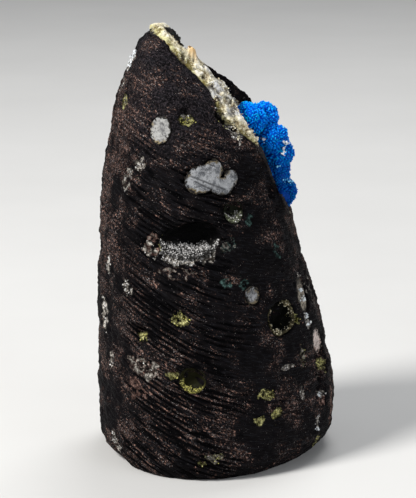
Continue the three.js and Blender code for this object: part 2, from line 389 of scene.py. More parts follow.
# the skin is held still this near to an inlay, and is free this far from it
KEEP_NEAR = (0.5, 1.7)
FAR = 5.0


def tree_of(*names):
    """A search tree over the named solids, in millimetres."""
    solids = copy_in_mm(*names)
    tree = BVHTree.FromBMesh(solids)
    solids.free()
    return tree


rock = even_quads(copy_in_mm("basalt_matrix"), COARSE_QUAD)
inlay_tree = tree_of(*[name for name in frame["nodes"] if name != "basalt_matrix"])


def relax_round_inlays(bm, rounds):
    """Relaxes the skin, but less and less towards the pieces that sit in it, and keeps the base flat."""
    start = places(bm)
    gaps = np.array([inlay_tree.find_nearest(p, FAR)[3] or FAR for p in start.tolist()])
    relax(bm, rounds)
    free = ramp(gaps, *KEEP_NEAR)[:, None]
    ended = start + (places(bm) - start) * free
    ended[start[:, 2] < 0.01, 2] = 0
    put_back(bm, ended)


relax_round_inlays(rock, FACET_ROUNDS)
levelled = places(rock)
levelled[:, 2] = saw_level(levelled)
put_back(rock, levelled)
rock = even_quads(rock, COARSE_QUAD, ROW_STRETCH)
skin = places(rock)
skin[:, 2] -= saw_drop(skin[:, 0], skin[:, 2])
put_back(rock, skin)
relax(rock, ROW_ROUNDS)
print("rock corners:", len(rock.verts))

# %% [markdown]
# ## Finding a bubble's mouth
# Bubbles are named by their azimuth round the rock and their height. A few rays round the place give
# points of the skin, and a curved sheet fitted through them says where the skin would run if there were
# no hole, so that a pit can be pressed in or a filling sawn flush with it.

# %% Directions from the axis
# the rock's middle line leans to the left: its x at the base and how much that changes per mm of height
AXIS_X = 0.05
AXIS_LEAN = -0.14
AXIS_Y = 1.04


def on_axis(height):
    return Vector((AXIS_X + AXIS_LEAN * height, AXIS_Y, height))


def way_out(azimuth):
    """The level way out of the rock at an azimuth in degrees: 0 is the front and 90 the right."""
    angle = math.radians(azimuth)
    return Vector((math.sin(angle), -math.cos(angle), 0))


# %% Bubble mouths
RAY_START = 60.0
SHEET_RINGS = (1.3, 1.6, 1.9)
RAYS_IN_RING = 12
BEYOND = 9.0
rock_tree = BVHTree.FromBMesh(rock)


class Mouth:
    """A bubble's opening: its own directions, its half sizes and the skin's sheet over it."""

    def __init__(self, azimuth, height, half_width, half_height, turn=0.0):
        self.out = way_out(azimuth)
        side, up = Vector((-self.out.y, self.out.x, 0)), Vector((0, 0, 1))
        roll = math.radians(turn)
        self.side = side * math.cos(roll) + up * math.sin(roll)
        self.up = up * math.cos(roll) - side * math.sin(roll)
        self.middle = on_axis(height)
        self.half = (half_width, half_height)
        rows, reaches = [], []
        for ring in SHEET_RINGS:
            for step in range(RAYS_IN_RING):
                u = ring * half_width * math.cos(math.tau * step / RAYS_IN_RING)
                v = ring * half_height * math.sin(math.tau * step / RAYS_IN_RING)
                start = self.middle + self.side * u + self.up * v + self.out * RAY_START
                hit, _, _, distance = rock_tree.ray_cast(start, -self.out)
                if hit:
                    rows.append((1, u, v, u * u, u * v, v * v))
                    reaches.append(RAY_START - distance)
        self.sheet = np.linalg.lstsq(np.array(rows), np.array(reaches), rcond=None)[0]

    def local(self, points):
        """u, v and how far each point lies above the sheet."""
        away = np.asarray(points) - np.array(self.middle)
        u, v, reach = (away @ np.array(d) for d in (self.side, self.up, self.out))
        flat = np.stack((np.ones_like(u), u, v, u * u, u * v, v * v), axis=-1) @ self.sheet
        return u, v, reach - flat

    def share(self, points, ragged=0.0, seed=0):
        """0 in the middle of the mouth, 1 on its edge and BEYOND far off. ragged makes the edge uneven."""
        u, v, above = self.local(points)
        share = np.hypot(u / self.half[0], v / self.half[1])
        if ragged:
            share = share * (1 + ragged * cloud(points, 0.5 * min(self.half) + 0.2, seed))
        return np.where(np.abs(above) < 2.5 * max(self.half) + 1, share, BEYOND)


# %% [markdown]
# ## Pits, patches and stains
# Small bubbles that the saw only grazed are shallow dents with a mineral skin. Each row below is one:
# where it is, how wide and high, how deep, its turn, and how much white, yellow, teal or pink mineral it
# holds. The broken sides have many more tiny open bubbles, and those are scattered by a seeded stream.

# %% The list of small bubbles
# azimuth, height, half width, half height, depth, turn, white, yellow, teal, pink
DENTS = [
    (16, 50.6, 1.0, 1.0, 1.2, 0, 0.0, 1.0, 0.0, 0.0),
    (-20, 33.2, 1.2, 1.5, 0.55, 0, 0.45, 0.3, 0.0, 0.75),
    (-14, 33.3, 0.35, 0.9, 0.3, 0, 0.0, 0.9, 0.0, 0.0),
    (-15, 15.6, 0.8, 0.8, 0.8, 0, 0.0, 1.0, 0.0, 0.0),
    (-32, 20.6, 0.7, 0.9, 0.8, 0, 0.0, 1.0, 0.0, 0.0),
    (74, 12.7, 0.9, 1.3, 0.9, 0, 0.5, 0.3, 0.0, 0.0),
    (75, 9.6, 0.8, 0.9, 0.7, 0, 1.0, 0.0, 0.0, 0.0),
    (75, 8.3, 0.8, 0.8, 0.3, 0, 0.0, 0.0, 0.0, 1.0),
    (-95, 30.0, 1.3, 1.7, 1.2, 10, 0.7, 0.0, 0.0, 0.0),
    (125, 11.5, 1.6, 1.3, 1.4, 0, 0.2, 0.7, 0.0, 0.0),
    (-125, 38.0, 1.2, 1.2, 1.1, 0, 0.8, 0.0, 0.0, 0.0),
    (-27, 43.8, 0.9, 0.9, 0.45, 0, 0.85, 0.6, 0.0, 0.0),
    (-40, 41.4, 0.7, 1.8, 0.30, -15, 0.8, 0.0, 0.0, 0.6),
    (-27, 42.3, 0.3, 0.5, 0.20, 0, 0.6, 0.6, 0.0, 0.0),
    (-52, 52.0, 0.6, 1.1, 0.25, 0, 0.5, 0.9, 0.0, 0.0),
    (18, 50.2, 0.55, 0.45, 0.1, 0, 0.9, 1.0, 0.0, 0.0),
    (-76, 57.0, 0.9, 1.6, 0.15, 0, 1.1, 0.0, 0.0, 0.0),
    (-74, 53.8, 0.7, 1.4, 0.15, 0, 0.9, 0.1, 0.0, 0.0),
    (-72, 34.3, 0.7, 1.2, 0.15, 0, 0.5, 0.2, 0.0, 0.9),
    (-63, 29.0, 0.6, 1.5, 0.2, 0, 0.9, 0.0, 0.0, 0.4),
    (-71, 21.2, 0.9, 2.2, 0.2, 5, 1.0, 0.0, 0.0, 0.3),
    (-62, 15.1, 0.6, 1.2, 0.2, 0, 0.9, 0.3, 0.0, 0.3),
    (-40, 26.8, 0.8, 1.0, 0.4, 0, 0.9, 0.0, 0.0, 0.4),
    (-7, 23.2, 1.1, 0.9, 0.6, 10, 0.2, 1.0, 0.0, 0.0),
    (33, 11.9, 1.3, 0.7, 0.5, -15, 0.2, 1.0, 0.0, 0.0),
    (38, 9.4, 1.1, 1.3, 0.7, 20, 0.2, 1.0, 0.0, 0.0),
    (27, 8.4, 0.8, 0.6, 0.4, 10, 0.2, 1.0, 0.0, 0.0),
    (1, 4.2, 1.4, 1.1, 0.7, 0, 0.7, 0.8, 0.0, 0.3),
    (-6, 2.9, 0.6, 0.4, 0.2, 0, 0.0, 0.9, 0.0, 0.0),
    (63, 15.6, 0.5, 1.5, 0.3, -10, 0.7, 0.8, 0.0, 0.0),
    (50, 15.0, 1.3, 0.4, 0.2, 0, 0.9, 0.0, 0.0, 0.0),
    (57, 10.6, 0.5, 0.9, 0.3, 0, 0.9, 0.4, 0.0, 0.0),
    (75, 20.0, 0.6, 1.4, 0.25, -5, 1.0, 0.2, 0.0, 0.0),
    (90, 23.4, 1.6, 2.4, 0.3, 0, 0.55, 0.3, 0.0, 0.5),
    (79, 26.0, 0.35, 0.9, 0.2, -5, 1.0, 0.3, 0.0, 0.0),
    (80, 14.0, 1.4, 1.5, 1.1, 0, 0.2, 0.9, 0.0, 0.9),
    (68, 5.4, 0.4, 1.1, 0.25, 5, 1.0, 0.0, 0.0, 0.0),
    (70, 2.4, 0.5, 1.1, 0.25, 5, 0.6, 1.0, 0.0, 0.0),
    (86, 6.5, 0.8, 3.6, 0.1, 0, 0.0, 0.0, 0.0, 1.0),
    (-59, 3.2, 1.0, 1.8, 0.3, 10, 0.9, 0.0, 0.0, 1.0),
    (-31, 15.6, 2.6, 1.4, 0.1, -10, 0.70, 0.0, 0.0, 0.8),
    (-38, 12.6, 1.6, 1.6, 0.1, 0, 0.0, 0.0, 0.0, 0.6),
    (33, 27.5, 0.8, 0.9, 0.2, 0, 0.0, 0.0, 0.9, 0.0),
    (22, 28.0, 0.9, 0.7, 0.15, -15, 0.1, 0.0, 0.8, 0.0),
    (46, 36.0, 0.7, 0.9, 0.2, 0, 0.1, 0.0, 0.8, 0.0),
    (62, 31.0, 0.6, 1.1, 0.2, 0, 0.3, 0.0, 0.8, 0.0),
    (28, 32.9, 1.2, 0.8, 0.6, 5, 0.6, 0.0, 0.75, 0.0),
    (-6, 29.6, 2.6, 0.9, 0.2, -8, 0.5, 0.0, 0.0, 0.6),
    (0, 32.1, 3.6, 1.3, 0.4, 3, 1.0, 0.0, 0.0, 0.0),
    (-9, 31.8, 1.2, 0.8, 0.3, -20, 0.8, 0.0, 0.0, 0.3),
    (14, 32.3, 0.9, 1.4, 0.4, -30, 0.8, 0.3, 0.0, 0.0),
    (51, 48.2, 0.8, 1.4, 0.10, 15, 1.2, 0.5, 0.0, 0.2),
    (50, 49.8, 1.3, 1.2, 0.10, 15, 1.0, 1.2, 0.0, 0.6),
    (66, 21.0, 0.5, 0.8, 0.10, 40, 0.0, 1.1, 0.0, 0.0),
    (-23, 32.6, 0.9, 0.9, 0.15, 0, 0.8, 0.5, 0.0, 0.5),
]
print("deepest small bubble in mm:", max(row[4] for row in DENTS))

# %% Press the dents
DEEP_DENT = 0.6
DENT_RAGGED = 0.65
FIRST_MINERAL_SEED = 50
MINERALS = ("white", "yellow", "teal", "pink")
skin = places(rock)
masks = {mineral: np.zeros(len(skin)) for mineral in MINERALS}
for row, (azimuth, height, wide, high, depth, turn, *amounts) in enumerate(DENTS):
    mouth = Mouth(azimuth, height, wide, high, turn)
    share = mouth.share(skin, ragged=DENT_RAGGED, seed=row)
    above = mouth.local(skin)[2]
    floor_depth = -depth * np.sqrt(np.clip(1 - share**2, 0, 1))
    move = np.where(share < 1, np.minimum(floor_depth - above, 0), 0)
    skin += move[:, None] * np.array(mouth.out)
    held = ramp(share, 1.25, 0.7)
    if depth > DEEP_DENT:
        # the mineral of a deep one lies on its floor
        held *= ramp(mouth.local(skin)[1] / high, 0.2, -0.35)
    else:
        blots = ramp(cloud(skin, 0.9, FIRST_MINERAL_SEED + row), 0.0, 0.25)
        held *= 0.5 + 0.5 * np.maximum(ramp(share, 0.5, 0.75), blots)
    for mineral, amount in zip(MINERALS, amounts):
        masks[mineral] = np.maximum(masks[mineral], amount * held)
print("dents:", len(DENTS))

# %% Tiny open bubbles on the broken sides
BUBBLE_TRIES = 150
BROKEN_AZIMUTHS = (62, 285)
BUBBLE_HEIGHTS = (2, 56)
LEAST_RADIUS = 0.28
RADIUS_SPREAD = 0.55
TALLER = 1.25
rng = np.random.default_rng(41)
pressed = 0
for _ in range(BUBBLE_TRIES):
    out = way_out(rng.uniform(*BROKEN_AZIMUTHS))
    start = on_axis(rng.uniform(*BUBBLE_HEIGHTS)) + out * RAY_START
    radius = LEAST_RADIUS + RADIUS_SPREAD * rng.random() ** 3
    hit = rock_tree.ray_cast(start, -out)[0]
    if hit and inlay_tree.find_nearest(hit)[3] > 1.5 * radius:
        share = np.linalg.norm((skin - np.array(hit)) / (1, 1, TALLER), axis=1) / radius
        skin -= (0.9 * radius * np.sqrt(np.clip(1 - share**2, 0, 1)))[:, None] * np.array(out)
        pressed += 1
put_back(rock, skin)
print("tiny bubbles:", pressed)

# %% [markdown]
# ## Carving the saw marks
# Each groove is a soft dip that repeats every 0.78 mm of the saw's level. Real marks start, stop and
# waver, so one noise field shifts them and another sets how deep they are, and short torn scratches run
# between them. They fade round the sides, where the broken faces get sharp little ridges instead: the
# absolute value of a noise field has a crease wherever the field crosses zero.

# %% Where the saw marks show
# how far the skin faces the front where the marks begin and where they are whole
FRONT_EDGE = (-0.15, 0.45)
# they also fade towards the left edge of the front view, between these places across
LEFT_EDGE = (-14.2, -10.2)
LEFT_EDGE_SHARE = 0.25
# and they are worn away between these heights
WORN_HEIGHTS = (42, 51)
level = saw_level(skin)
# a place on the saw's own level, on which a flat lump follows the marks
bent = np.stack((skin[:, 0], skin[:, 1], level), axis=-1)
normals = facing(rock)
axis_x = AXIS_X + AXIS_LEAN * skin[:, 2]
outward = skin - np.stack((axis_x, np.full(len(skin), AXIS_Y), skin[:, 2]), axis=-1)
outward /= np.linalg.norm(outward, axis=1)[:, None]
sawn = ramp(-outward[:, 1], *FRONT_EDGE) * ramp((normals * outward).sum(1), 0.3, 0.7)
past_edge = ramp(front_view(skin)[0] + 1.2 * cloud(skin, 2.5, 46), *LEFT_EDGE)
sawn *= LEFT_EDGE_SHARE + (1 - LEFT_EDGE_SHARE) * past_edge
worn = ramp(skin[:, 2], *WORN_HEIGHTS)
print("share of the skin that is sawn:", round(float((sawn > 0.5).mean()), 2))

# %% Grooves and torn scratches
GROOVE_SHARPNESS = 2.2
# sizes of flat lumps: along x, along y and across the marks
LONG_PATCH = (7, 7, 3)
SHORT_PATCH = (2.4, 2.4, 0.8)
LONG_SCRATCH = (3.5, 3.5, 0.42)
SHORT_SCRATCH = (1.8, 1.8, 0.35)
# to the right the marks weaken, from the second of these x to the first
WEAKER_BETWEEN = (7, -3)
WEAKEST = 0.15
phase = level / SAW_PITCH + 0.5 * cloud(bent, LONG_PATCH, 1)
groove = (0.5 - 0.5 * np.cos(math.tau * phase)) ** GROOVE_SHARPNESS
patchy = np.clip(0.30 + 1.5 * cloud(bent, LONG_PATCH, 2) + 1.1 * cloud(bent, SHORT_PATCH, 3), 0.0, 1.3)
torn = ramp(cloud(bent, LONG_SCRATCH, 9), 0.16, 0.42)
torn = torn + 0.7 * ramp(cloud(bent, SHORT_SCRATCH, 10), 0.2, 0.45)
left_share = WEAKEST + (1 - WEAKEST) * ramp(skin[:, 0], *WEAKER_BETWEEN)
marks = np.clip(1.15 * groove * patchy + 0.6 * torn, 0, 1.4) * sawn * left_share * (1 - 0.8 * worn)
print("share of the skin with deep marks:", round(float((marks > 0.5).mean()), 2))

# %% Carve the skin
GROOVE_DEPTH = 0.30
FLAT_GRAIN = (0.9, 0.9, 0.4)
# the whole skin sinks a little, to make room for the grain inside the solid's box
SINK = 0.08
BASE_EDGE = 0.8
rough = 0.10 * cloud(skin, 2.2, 4) + 0.09 * cloud(skin, 0.9, 5)
rough += (0.10 - 0.06 * worn) * cloud(bent, FLAT_GRAIN, 6) + 0.10 * worn * cloud(skin, 0.6, 11)
broken = 0.10 - 0.55 * np.abs(cloud(skin, 3.4, 7)) - 0.28 * np.abs(cloud(skin, 1.3, 8))
move = -GROOVE_DEPTH * marks + rough + (1 - sawn) * broken - SINK
move *= ramp(skin[:, 2], 0.0, BASE_EDGE)
skin += move[:, None] * normals
skin[:, 2] = np.maximum(skin[:, 2], 0)
put_back(rock, skin)
print("groove depth in mm:", round(float((GROOVE_DEPTH * marks).max()), 2))

# %% Masks for the basalt's finish
INLAY_REACH = 2.0
rock_tree = BVHTree.FromBMesh(rock)
filling_tree = tree_of(*[name for name in frame["nodes"] if name.startswith("filling_")])
masks["sawn"] = sawn
masks["groove"] = marks
masks["level"] = level
masks["worn"] = worn * sawn
masks["inlay"] = [filling_tree.find_nearest(p, INLAY_REACH)[3] or INLAY_REACH for p in skin.tolist()]
print("masks:", ", ".join(masks))

# %% [markdown]
# ## Rust in swarms
# Rust spots don't lie evenly on the sawn face: they gather in swarms that are some millimetres wide. The
# swarms are few and have their own places, so each one is a row, placed as it shows from the front.

# %% Where the rust swarms
# in the front view: across, up, reach across, reach up, amount
SWARMS = [
    (-9.6, -16.7, 8.0, 5.0, 0.95), (-4.6, -25.3, 11.0, 6.5, 0.95), (-11.0, -8.8, 6.0, 5.0, 0.65),
    (-12.0, 17.5, 4.5, 10.0, 1.0), (-15.6, 2.7, 3.5, 13.0, 0.7), (-0.7, 15.7, 5.0, 3.0, 0.75),
    (7.9, 1.3, 3.0, 5.0, 0.5), (11.0, -21.7, 5.0, 8.0, 0.5), (0.5, -16.2, 5.0, 3.0, 0.6),
    (-8.9, 28.6, 3.0, 3.0, 0.45), (-13.5, -28.0, 4.0, 5.0, 0.8), (-3.0, 5.0, 6.0, 3.0, 0.35),
]
FEW_ON_FRONT = 0.32
SOME_ON_BACK = 0.5
across, up = front_view(skin)
swarm = np.full(len(skin), FEW_ON_FRONT)
wander = cloud(skin, 3.0, 12)
for middle_across, middle_up, wide, high, amount in SWARMS:
    away = np.hypot((across - middle_across) / wide, (up - middle_up) / high)
    swarm = np.maximum(swarm, amount * ramp(away + 0.4 * wander, 1.5, 0.3))
masks["swarm"] = swarm + (SOME_ON_BACK - swarm) * ramp(outward[:, 1], -0.1, 0.2)
print("share with dense rust:", round(float((masks["swarm"] > 0.5).mean()), 2))


# %% [markdown]
# ## Growing many crystals at once
# A druse is thousands of small crystals. One crystal is modelled as a closed prism with a poked tip, and
# its corners are then copied by arrays: each copy stands on a point that was scattered over a surface,
# turned to that surface's normal. The copies stay one plain mesh, because the export keeps no instances.

# %% One crystal
def crystal_form(sides, shoulder, width_at_shoulder):
    """A pointed prism one unit tall and one wide, standing on the origin: its corners and its faces."""
    form = bmesh.new()
    bmesh.ops.create_cone(form, cap_ends=True, segments=sides, radius1=0.5,
                          radius2=0.5 * width_at_shoulder, depth=shoulder)
    bmesh.ops.translate(form, vec=(0, 0, shoulder / 2), verts=form.verts)
    top = max(form.faces, key=lambda face: face.calc_center_median().z)
    bmesh.ops.poke(form, faces=[top], offset=1 - shoulder)
    corners = places(form)
    faces = [[v.index for v in face.verts] for face in form.faces]
    form.free()
    return corners, faces


# %% Scattering and copying
def scatter(ground, count, rng, weights):
    """Points spread over the ground, and its normals there. weights says how dense, corner by corner."""
    bm = ground.copy()
    bmesh.ops.triangulate(bm, faces=bm.faces)
    bm.normal_update()
    bm.verts.ensure_lookup_table()
    indices = np.array([[v.index for v in face.verts] for face in bm.faces])
    first, second, third = places(bm)[indices].transpose(1, 0, 2)
    normals = np.array([face.normal for face in bm.faces])
    area = np.array([face.calc_area() for face in bm.faces]) * np.asarray(weights)[indices].mean(axis=1)
    bm.free()
    picks = rng.choice(len(area), size=count, p=area / area.sum())
    a, b = rng.random(count), rng.random(count)
    a, b = np.where(a + b > 1, 1 - a, a), np.where(a + b > 1, 1 - b, b)
    start, second, third = first[picks], second[picks], third[picks]
    return start + a[:, None] * (second - start) + b[:, None] * (third - start), normals[picks]


def grow(form, roots, ups, sizes, rng, lean):
    """Copies of the form as a bmesh, with masks: 0 at the root to 1 at the tip, and a tint for each copy.
    sizes has a row for each copy: width, thickness and length. lean tips them away from straight up."""
    corners, faces = form
    count = len(roots)
    ups = ups + lean * rng.normal(size=(count, 3))
    ups /= np.linalg.norm(ups, axis=1)[:, None]
    across = np.cross(ups, rng.normal(size=(count, 3)))
    across /= np.linalg.norm(across, axis=1)[:, None]
    third = np.cross(ups, across)
    scaled = corners[None, :, :] * sizes[:, None, :]
    grown = roots[:, None, :] + sum(
        scaled[:, :, axis, None] * way[:, None, :] for axis, way in enumerate((across, third, ups))
    )
    starts = range(0, count * len(corners), len(corners))
    mesh = bpy.data.meshes.new("grown")
    mesh.from_pydata(
        grown.reshape(-1, 3), [], [[start + corner for corner in face] for start in starts for face in faces]
    )
    bm = bmesh.new()
    bm.from_mesh(mesh)
    bpy.data.meshes.remove(mesh)
    return bm, {"tip": np.tile(corners[:, 2], count), "tint": np.repeat(rng.random(count), len(corners))}


# %% Kinds of crystal
# the least length and how much longer the longest is, in mm, the width and thickness and how deep the root
# sits, as shares of the length, and the lean
Habit = namedtuple("Habit", "form least longer wide thick sunk lean")
BLADE = Habit(crystal_form(6, 0.8, 0.9), 0.45, 1.1, 0.55, 0.25, 0.3, 0.4)
STUB = Habit(crystal_form(4, 0.6, 0.9), 0.14, 0.2, 0.9, 0.7, 0.6, 0.5)
SUGAR = Habit(crystal_form(4, 0.5, 1.0), 0.14, 0.2, 0.75, 0.65, 0.3, 0.5)
PATCH_GRAIN = Habit(crystal_form(4, 0.5, 1.0), 0.13, 0.25, 0.8, 0.7, 0.4, 0.5)


def sow(habit, ground, count, rng, weights, shorten=None):
    """Crystals of one kind all over the ground, most of them short. shorten gives each root's share."""
    roots, ups = scatter(ground, count, rng, weights)
    long = habit.least + habit.longer * rng.random(count) ** 2
    if shorten:
        long *= shorten(roots)
    sizes = np.stack((habit.wide * long, habit.thick * long, long), axis=-1)
    return grow(habit.form, roots - habit.sunk * long[:, None] * ups, ups, sizes, rng, habit.lean)


print("corners of a blade:", len(BLADE.form[0]), "of a stub:", len(STUB.form[0]))


# %% [markdown]
# ## The zeolite crust
# The crust fills the edge of the pocket like icing. It shows as a band from the front, and the two edges
# of that band are lines of places across and up in the front view. Its solid keeps a small gap to the
# rock, where the real crust has grown onto it, so each of its points is moved out until it meets the
# rock, if the rock is near. The free faces get lumps of three sizes, and a few deep holes where crystals
# were broken out. The crest of the front wall is lowered to the band's inner edge.

# %% The band's edges
INNER_EDGE = [
    (-9.0, 33.5), (-8.0, 32.6), (-7.54, 31.62), (-6.99, 30.95), (-6.1, 30.3), (-5.56, 29.5), (-4.77, 29.1),
    (-3.84, 28.3), (-2.4, 27.3), (-1.54, 26.6), (-0.82, 25.6), (-0.25, 24.7), (1.34, 24.1), (2.05, 23.4),
    (2.48, 22.4), (3.35, 20.7), (4.4, 18.9), (5.6, 16.9), (7.0, 13.5), (9.0, 8.0),
]
OUTER_EDGE = [
    (-9.7, 33.5), (-9.2, 31.5), (-7.0, 29.2), (-5.0, 26.9), (-3.1, 24.8), (-1.5, 23.0), (0.0, 20.2),
    (1.4, 17.6), (2.6, 16.2), (4.2, 16.1), (5.6, 15.2), (8.0, 11.0),
]
TOP_RIM_UP = 31.95
TOP_RIM_END = -6.3
BAND_END_UP = 15.2
# a pale vein on the back wall's edge
BACK_STREAK = [(4.2, 22.6), (5.8, 20.6)]


def over_line(across, up, line):
    """How far up each spot lies over a line in the front view."""
    return up - np.interp(across, [spot[0] for spot in line], [spot[1] for spot in line])


print("places on the band's edges:", len(INNER_EDGE), "and", len(OUTER_EDGE))

# %% Seat the crust on the rock
CRUST_QUAD = 0.17
CRUST_ROUNDS = 4
SEAT_REACH = 0.75
SEAT_MOST = 0.42
SEAT_OVERLAP = 0.05


def to_seat(points, normals, tree):
    """How far each point may move along its normal to meet the surface behind it, and 0 on a free face."""
    gaps = np.zeros(len(points))
    for index, (point, normal) in enumerate(zip(points.tolist(), normals.tolist())):
        place, _, _, distance = tree.find_nearest(point, SEAT_REACH)
        if place and (place - Vector(point)).dot(Vector(normal)) > 0.5 * distance:
            gaps[index] = min(distance + SEAT_OVERLAP, SEAT_MOST)
    return gaps


crust = even_quads(copy_in_mm("zeolite_crust"), CRUST_QUAD)
relax(crust, CRUST_ROUNDS)
skin = places(crust)
normals = facing(crust)
seats = to_seat(skin, normals, rock_tree)
free = ramp(seats, 0.12, 0.0)
across, up = front_view(skin)
print("crust corners:", len(skin), "seated on rock:", int((seats > 0).sum()))

# %% Lumps and holes
# marks on the band in the front view: across, up and reach
CRUST_SPOTS = [
    ("hole", 0.2, 21.4, 0.45), ("hole", -1.9, 24.9, 0.3), ("glassy", -0.3, 22.6, 1.4),
    ("glassy", 2.3, 19.8, 0.8), ("smooth", 4.9, 15.9, 1.1),
]
# how high the lumps are, how wide, and the seed of their cloud
CRUST_LUMPS = [(0.24, 1.5, 21), (0.20, 0.75, 22), (0.13, 0.38, 23)]
HOLE_DEPTH = 0.6
CRUST_SINK = 0.04
TOP = frame["record"]["size"]["bbox_m"][2] / MM
BELOW_TOP = 0.01
lumps = sum(high * cloud(skin, wide, seed) for high, wide, seed in CRUST_LUMPS)
spot = {name: np.zeros(len(skin)) for name in ("hole", "glassy", "smooth")}
for name, middle_across, middle_up, reach in CRUST_SPOTS:
    away = np.hypot(across - middle_across, up - middle_up) / reach + 0.5 * cloud(skin, 0.7, 29)
    spot[name] = np.maximum(spot[name], ramp(away, 1.1, 0.7))
holes = np.maximum(ramp(cloud(skin, 1.1, 24) + 0.4 * cloud(skin, 0.5, 27), 0.46, 0.62), spot["hole"])
lumps *= 1 - 0.7 * spot["smooth"]
skin += (seats + free * (lumps - CRUST_SINK - HOLE_DEPTH * holes))[:, None] * normals
skin[:, 2] = np.minimum(skin[:, 2], TOP - BELOW_TOP - 0.1 * np.abs(cloud(skin, 0.8, 25)))
print("share of the crust in holes:", round(float((holes > 0.5).mean()), 2))

# %% The crest and the orange crystal
CREST_DROP = 0.1
# the front wall ends at these depths, y in mm
FRONT_WALL = (1.0, 0.4)
# an orange crystal stands up from the band's inner edge here, in the front view
BUMP_ACROSS = -3.4
BUMP_HALF_WIDTH = 0.85
BUMP_HEIGHT = 1.0
# left of here the crust's cap is drawn in
CAP_LEFT = -9.2
crest = over_line(*front_view(skin), INNER_EDGE) + CREST_DROP
skin -= (np.maximum(crest, 0) * ramp(skin[:, 1], *FRONT_WALL))[:, None] * np.array(upwards)
bump = ramp(np.abs(across - BUMP_ACROSS) + 0.3 * cloud(skin, 0.6, 30), BUMP_HALF_WIDTH, 0.2)
bump *= ramp(crest, -1.0, -0.3) * ramp(skin[:, 1], 3.2, 2.6)
skin += (BUMP_HEIGHT * bump)[:, None] * np.array(upwards)
skin[:, 0] += 0.7 * np.maximum(CAP_LEFT - across, 0)
put_back(crust, skin)
print("share of the crust in the orange crystal:", round(float((bump > 0.5).mean()), 4))

# %% [markdown]
# ## Where the crust is thin
# From the front the crust shows as a band. Beyond the band's inner edge the pocket's back wall is bare,
# dark rock with only a stain of crust on it. That edge is easiest to draw in the front view, so it is a
# line of places across and up in that view, and so is the band's outer edge, which holds a yellow stain.

# %% Masks on the crust
across, up = front_view(skin)
beyond = over_line(across, up, INNER_EDGE)
in_band = over_line(across, up, OUTER_EDGE)
ragged = 0.35 * cloud(skin, 0.9, 26) + 0.2 * cloud(skin, 0.4, 28)
front_wall = ramp(skin[:, 1], *FRONT_WALL)
bare = ramp(beyond + ragged * (1 - front_wall), -0.02, 0.12) * ramp(bump, 0.35, 0.1)
bare *= 1 - ramp(up, TOP_RIM_UP - 0.15, TOP_RIM_UP) * ramp(across, TOP_RIM_END + 0.3, TOP_RIM_END)
low_end = ramp(up + ragged, BAND_END_UP, BAND_END_UP - 0.5) * ramp(skin[:, 1], 1.6, 0.8)
bare = np.maximum(bare, low_end)
bare = np.maximum(bare, ramp(in_band + 0.6 * ragged, 0.05, -0.15) * front_wall)
to_streak = over_line(across, up, BACK_STREAK)
streak = ramp(np.abs(to_streak), 0.3, 0.1) * ramp(np.abs(across - 5.0), 0.9, 0.6) * (1 - front_wall)
crust_masks = {
    "bare": bare, "hole": holes, "high": ramp(lumps, -0.22, 0.24), "in_band": in_band, "bump": bump,
    "glassy": spot["glassy"], "streak": streak, "peak": ramp(up, 22, 26), "front": front_wall,
}
print("bare share:", round(float(bare.mean()), 2))

# %% [markdown]
# ## The druse in the pocket
# Inside the pocket the crust ends in free crystals: cream blades, one or two millimetres long, that lean
# every way. They grow only on faces that look towards the pocket's middle line, which runs from the peak
# down to the pocket's lower tip. The band at the front is broken flat and gets small stubby ones.

# %% Pocket druse
POCKET_LINE = np.array([
    (-6.2, 1.2, 61.5), (-1.0, 1.0, 57.0), (4.6, 0.8, 51.5), (8.8, 1.0, 45.0), (10.4, 1.3, 37.0),
])
BLADE_COUNT = 1300
STUB_COUNT = 1500
rng = np.random.default_rng(5)


def to_pocket_line(points):
    """The way from each point to the nearest point of the pocket's middle line."""
    best = np.full(len(points), np.inf)
    ways = np.zeros((len(points), 3))
    for start, end in zip(POCKET_LINE[:-1], POCKET_LINE[1:]):
        run = end - start
        share = np.clip(((points - start) @ run) / (run @ run), 0, 1)
        way = start + share[:, None] * run - points
        length = np.linalg.norm(way, axis=1)
        nearer = length < best
        best[nearer], ways[nearer] = length[nearer], way[nearer]
    return ways / np.maximum(best, 0.01)[:, None]


def shorter_near_edge(roots):
    """Blades on the band's inner edge are about a third as long as deep in the pocket."""
    return 0.35 + 0.65 * ramp(over_line(*front_view(roots), INNER_EDGE), -0.8, -2.4)


inside = ramp((to_pocket_line(skin) * facing(crust)).sum(1), 0.1, 0.5) * ramp(skin[:, 2], 58.5, 57)
hidden = ramp(beyond, -0.6, -1.6)
blades = sow(BLADE, crust, BLADE_COUNT, rng, inside * hidden * free * (1 - low_end), shorter_near_edge)
stubs = sow(STUB, crust, STUB_COUNT, rng, (1 - inside) * (1 - bare) * free * ramp(beyond, 0.0, -0.3))
for crystals, _ in (blades, stubs):
    for vert in crystals.verts:
        vert.co.z = min(vert.co.z, TOP - BELOW_TOP)
print("crystals in the pocket:", BLADE_COUNT, "on the band:", STUB_COUNT)

# %% [markdown]
# ## The cavansite balls
# Cavansite grows as rosettes: hundreds of blue blades that spread from one point, with blunt points. Each
# ball here is a core under thin blades that are set evenly, by the golden angle, over the sphere, and
# small rosettes sit on the big ones, so that the outline is lumpy. A blade whose tip would leave the
# cluster's solid, where the pocket's wall is, is left out, and so is one that would end inside a ball.

# %% Where the balls are
# x, y, z and radius in mm
BALLS = [
    (4.75, -0.16, 48.9, 2.3), (6.55, 2.24, 48.6, 2.2), (7.75, 0.64, 45.8, 2.3),
    (8.55, 1.44, 43.4, 2.4), (8.55, 0.84, 41.0, 2.0), (9.35, 1.14, 37.9, 2.2),
]
SMALL_ON_BALL = 15
